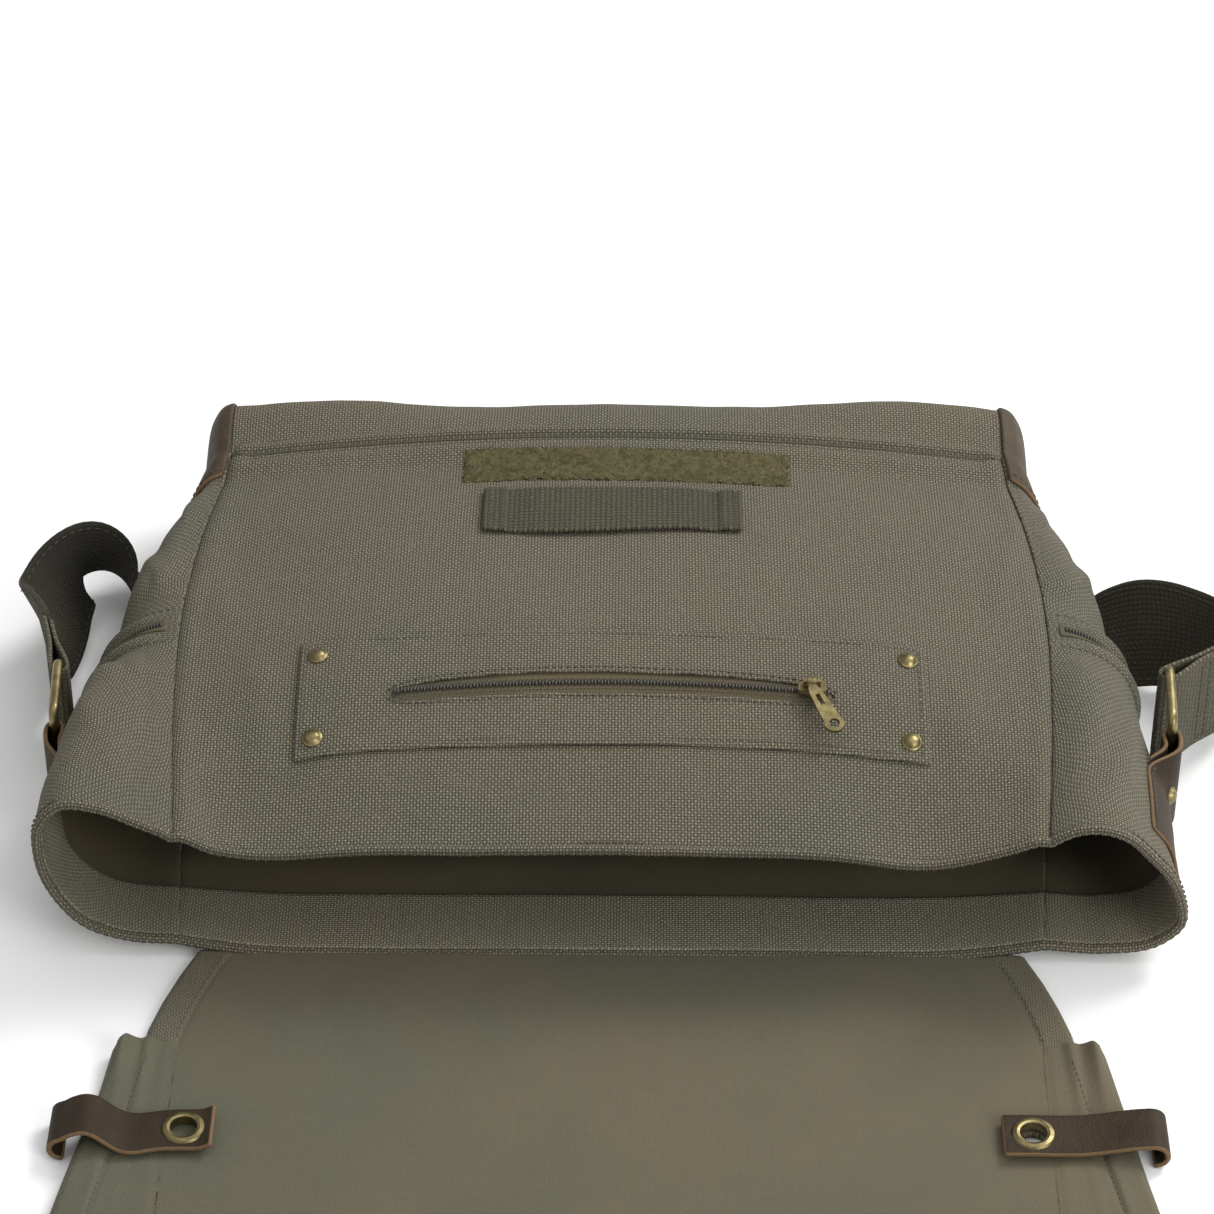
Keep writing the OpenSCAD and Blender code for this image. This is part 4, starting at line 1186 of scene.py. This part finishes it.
def flap_top_z(x, t):
    edge = np.minimum(half_flap(t) - np.abs(x), FLAP_L - t)
    hem = 0.7 * smooth((16 - edge) / 2) - 0.8 * hump(edge - 14.6, 1.1) * smooth((t - 2) / 6)
    hem = hem * (1 - smooth((t - WING_START + 2) / 8) * (edge < FLAP_L - t) * smooth((FLAP_L - 45 - t) / 20))
    edge_round = -1.2 * hump(edge, 1.3)
    return flap_lift(x, t) + FLAP_T + hem + edge_round + 0.12 * noise(x, t, 14, 72)


def flap_point(x, t, z):
    return np.stack(np.broadcast_arrays(x, HINGE - t, z), -1)


def flat_from_plan(obj):
    """Gives the pieces of the laid flap one weave, by their place on the floor."""
    old = obj.data.attributes.get("flat")
    if old:
        obj.data.attributes.remove(old)
    spots = np.zeros(3 * len(obj.data.vertices), np.float32)
    obj.data.vertices.foreach_get("co", spots)
    obj.data.attributes.new("flat", "FLOAT_VECTOR", "POINT").data.foreach_set("vector", spots / MM)


def bend(obj, near, far, start, end):
    """Bends a piece of the flap between two bodies, from start to end mm past the hinge."""
    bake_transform(obj, near, far, start=(0, (HINGE - start) * MM, 0), end=(0, (HINGE - end) * MM, 0))


def add_flap_sheet(name, ts, bodies, fold, nodes, holes=False):
    ss = np.r_[np.linspace(-1, -0.9, 30)[:-1], np.linspace(-0.9, 0.9, 110), np.linspace(0.9, 1, 30)[1:]]
    s, t = np.meshgrid(ss, ts[::-1])
    x = s * half_flap(t)
    top = flap_point(x, t, flap_top_z(x, t))
    under = flap_point(x, t, flap_lift(x, t))
    edge = np.minimum(half_flap(t) - np.abs(x), FLAP_L - t)
    mask = (edge[:-1, :-1] + edge[1:, 1:]) / 2 < 14.6
    obj = shell(name, top, under, (LINING, FLAP_HEM, CANVAS, FLAP_HEM), mask)
    if holes:
        cut_hole(obj, EYELET_X, 5.6, -5, CANVAS)
    flat_from_plan(obj)
    flat_y = np.array([v.co.y for v in obj.data.vertices]) / MM
    at_joint = np.abs(flat_y - (HINGE - FLAP_JOINT)) < 0.02
    marks = obj.data.attributes             # sharp edges at the joint, so that it doesn't show
    sharp = marks.get("sharp_edge") or marks.new("sharp_edge", "BOOLEAN", "EDGE")
    sharp.data.foreach_set("value", np.array([at_joint[e.vertices[0]] and at_joint[e.vertices[1]]
                                              for e in obj.data.edges]))
    bend(obj, *bodies, *fold)
    piece(obj, None, "lining", *nodes)
    return obj


def cut_hole(obj, x, r, below, material, above=15, sides=40):
    """Cuts a round hole for an eyelet into a piece of the flap."""
    a = np.linspace(0, 2 * np.pi, sides, endpoint=False)
    v = [[x + r * math.cos(q), HINGE - TAB_MID + r * math.sin(q), z] for z in (below, above) for q in a]
    f = [[j, (j + 1) % sides, sides + (j + 1) % sides, sides + j] for j in range(sides)]
    f += [list(range(sides - 1, -1, -1)), list(range(sides, 2 * sides))]
    cutter = make("cutter", v, f, [material])
    applied(obj, "BOOLEAN", operation="DIFFERENCE", object=cutter, solver="EXACT")
    bpy.data.objects.remove(cutter)


def wing_shape(x, t, side):
    """Height of a wing's upper face. It carries on from the lining in soft ridges."""
    reach = wing_x(t) - x
    start = hump(t - WING_START, 34)
    corner = 4.0 * hump(t - WING_START, 22) * smooth((x - FLAP_HALF + 4) / 12)
    lean = (t - WING_START) * 0.06
    tall = (0.2 + 0.8 * start) * (0.8 + 0.35 * noise(t, 0 * t + side, 25, 75))
    ridge = (3.4 * hump(x - FLAP_HALF + 3 - lean, 2.8) + 2.6 * hump(x - FLAP_HALF - 7 - lean, 2.6)) * tall
    loose = 1.2 * (1 + noise(x + 300 * side, t, 40, 74)) * smooth((x - FLAP_HALF) / 14)
    groove = -0.8 * hump(reach - 14, 1.3) + 0.6 * smooth((14 - reach) / 2)
    flush = flap_top_z(side * np.minimum(x, FLAP_HALF - 4), t)
    step = 0.5 * smooth((x - FLAP_HALF + 14) / 4)
    return flush + step + corner + ridge + loose + groove * smooth((x - FLAP_HALF) / 6)


def add_wing(nm, side):
    ts = np.r_[WING_START + 7 * (1 - np.cos(np.linspace(0, np.pi / 2, 12))),
               np.linspace(WING_START + 8.5, FLAP_L - 40.5, 130)]
    ks = np.r_[np.linspace(0, 0.9, 44), np.linspace(0.915, 1, 9)]
    k, t = np.meshgrid(ks, ts)
    inner = FLAP_HALF - 15
    over = np.clip((WING_START + 7 - t) / 7, 0, 1)
    outer = wing_x(t) - 7 + 7 * np.sqrt(1 - over**2)
    x = inner + k * (outer - inner)
    top_z = wing_shape(x, t, side) - 1.0 * hump(outer - x, 1.2)
    inside = smooth((FLAP_HALF + 3 - x) / 3)
    raised = 3.4 * hump(t - WING_START, 22) * smooth((x - FLAP_HALF + 4) / 12)
    low_z = flap_lift(side * x, t) + raised
    top = flap_point(side * x, t, top_z)
    under = flap_point(side * x, t, low_z * (1 - inside) + inside * (top_z - 0.9))
    if normals(top)[..., 2].mean() < 0:
        top, under = top[:, ::-1], under[:, ::-1]
    obj = shell("wing_" + nm, top, under, (LINING, FLAP_HEM, CANVAS))
    flat_from_plan(obj)
    tt = np.linspace(WING_START + 10, FLAP_L - 76, 300)
    xx = wing_x(tt) - 13.6
    q = flap_point(side * xx, tt, wing_shape(xx, tt, side))
    thread = Thread().row(q, upward(q), 3.2, 2.3, 0.28)
    stitches = thread.make("wing_stitches_" + nm, THREAD)
    for o in (obj, stitches):
        bend(o, "flap_top", "flap_front", *FOLD_AT)
    piece(stitches, None, "canvas")
    return piece(obj, None, "canvas", "flap_wing_" + nm), stitches


def add_flap():
    upper_ts = np.r_[-1.0, 0.5, np.linspace(2, FLAP_JOINT, 30)]
    end_ts = FLAP_L - 24 + 24 * np.sin(np.radians(np.linspace(-12, 88, 26)))
    lower_ts = np.r_[np.linspace(FLAP_JOINT, 350, 150), end_ts]
    upper = add_flap_sheet("flap_upper", upper_ts, ("bag", "flap_top"), HINGE_AT,
                           ("flap_top_canvas", "flap_top_lining"))
    lower = add_flap_sheet("flap_lower", lower_ts, ("flap_top", "flap_front"), FOLD_AT,
                           ("flap_front_canvas", "flap_front_lining"), holes=True)
    inset = 13.2                                # from the flap's edge to its row of stitches
    rows = {"upper": np.linspace(3, FLAP_JOINT, 90), "lower": np.linspace(FLAP_JOINT, WING_START - 2, 12)}
    made = {}
    for part, ts in rows.items():
        thread = Thread()
        for side in (-1, 1):
            x = side * (half_flap(ts) - inset)
            q = flap_point(x, ts, flap_top_z(x, ts))
            thread.row(q, upward(q), 3.2, 2.3, 0.28)
        if part == "lower":
            x = np.linspace(-FLAP_HALF + 24, FLAP_HALF - 24, 400)
            t = np.full(400, float(FLAP_L - inset))
            q = flap_point(x, t, flap_top_z(x, t))
            thread.row(q, upward(q))
        made[part] = thread.make("flap_stitches_" + part, THREAD)
    bend(made["upper"], "bag", "flap_top", *HINGE_AT)
    bend(made["lower"], "flap_top", "flap_front", *FOLD_AT)
    for s in made.values():
        piece(s, None, "lining")
    wings = [add_wing(nm, side) for nm, side in (("left", -1), ("right", 1))]
    [made["lower"]] + [w for pair in wings for w in pair]
    add_hooks()


def add_hooks():
    lo, hi = low("hook_strip"), high("hook_strip")
    xs, ys = np.linspace(lo[0], hi[0], 200), np.linspace(lo[1], hi[1], 34)
    x, y = np.meshgrid(xs, ys)
    rough = np.random.RandomState(9).uniform(0, 1, x.shape)
    base = flap_top_z(x, HINGE - y)
    top = np.stack([x, y, base + 0.7 + 0.8 * rough], -1)
    obj = shell("hook_tape", top, np.stack([x, y, base - 0.3], -1), (FUZZ,) * 3)
    piece(obj, "flap_front", "hook_and_loop", "hook_strip")


def add_flap_tab(nm, side):
    """A leather strip that curls over the wing's edge and lies on the lining, with an eyelet through it."""
    r = 5.2
    curl = [(r * math.cos(a), 6.4 + r * math.sin(a)) for a in np.radians(np.linspace(-85, 78, 12))]
    base = low("eyelet_" + nm)[2] + 0.6 + 1.2
    run = []
    for d in np.linspace(4, 62, 14):
        z = base + (12.8 - 1.2 - base) * math.cos(math.pi / 2 * min(1, d / 34)) ** 2
        if side < 0:
            z += 5.5 * math.exp(-(((d - 11) / 9) ** 2)) + 2.5 * smooth((d - 56) / 6)
        run.append((-d, z))
    xz = spaced(curl + run, 110)
    across = np.linspace(-TAB_W / 2, TAB_W / 2, 18)
    sway = -3.0 * hump(xz[:, 0] + 27, 11) if side < 0 else 0 * xz[:, 0]
    P = np.stack([np.tile(side * (CURL_X + xz[:, 0]), (18, 1)),
                  HINGE - TAB_MID + across[:, None] + sway[None],
                  np.tile(xz[:, 1], (18, 1))
                  + 0.25 * noise(xz[:, 0][None], across[:, None], 12, 80 + side)], -1)
    if (normals(P)[:, 60:] @ UP).mean() < 0:
        P = P[::-1]
    n = normals(P)
    half = 1.15
    obj = shell("flap_strip_" + nm, P + n * half, P - n * half, (LEATHER, RAW_EDGE, LEATHER))
    cut_hole(obj, side * EYELET_X, 6.5, 1.5, LEATHER)
    piece(obj, "flap_tab_" + nm, "leather", "flap_tab_" + nm)


add_flap()
add_flap_tab("left", -1)
add_flap_tab("right", 1)

# ---- floor and light ----


def add_stage():
    floor_mat = plain("floor_white", (0.92, 0.92, 0.92), 0.9, 0.004, 300, 0.0)
    n = 24
    g = np.linspace(-6000, 6000, n)
    x, y = np.meshgrid(g, g)
    idx = np.arange(n * n).reshape(n, n)
    quads = quads_of(idx).reshape(-1, 4)
    floor = make("floor", np.stack([x, y, 0 * x - 0.25], -1).reshape(-1, 3), quads.tolist(), [floor_mat])
    world = bpy.data.worlds.new("studio")
    bpy.context.scene.world = world
    world.use_nodes = True
    background = world.node_tree.nodes["Background"]
    background.inputs["Color"].default_value = (1, 1, 1, 1)
    background.inputs["Strength"].default_value = 0.5
    for name, place, size, power in (("key", (1.25, 1.15, 1.6), 1.0, 40), ("fill", (-1.2, -0.9, 1.6), 1.5, 3),
                                     ("top", (0.2, 0.0, 2.2), 1.5, 10), ("front", (1.5, -1.5, 1.2), 1.2, 30)):
        light = bpy.data.lights.new(name, "AREA")
        light.size, light.energy = size, power
        obj = bpy.data.objects.new(name, light)
        obj.location = place
        obj.rotation_euler = (Vector((0, 0.05, 0.04)) - Vector(place)).to_track_quat("-Z", "Y").to_euler()
        bpy.context.scene.collection.objects.link(obj)
    bpy.context.scene.view_settings.view_transform = "Standard"


add_stage()
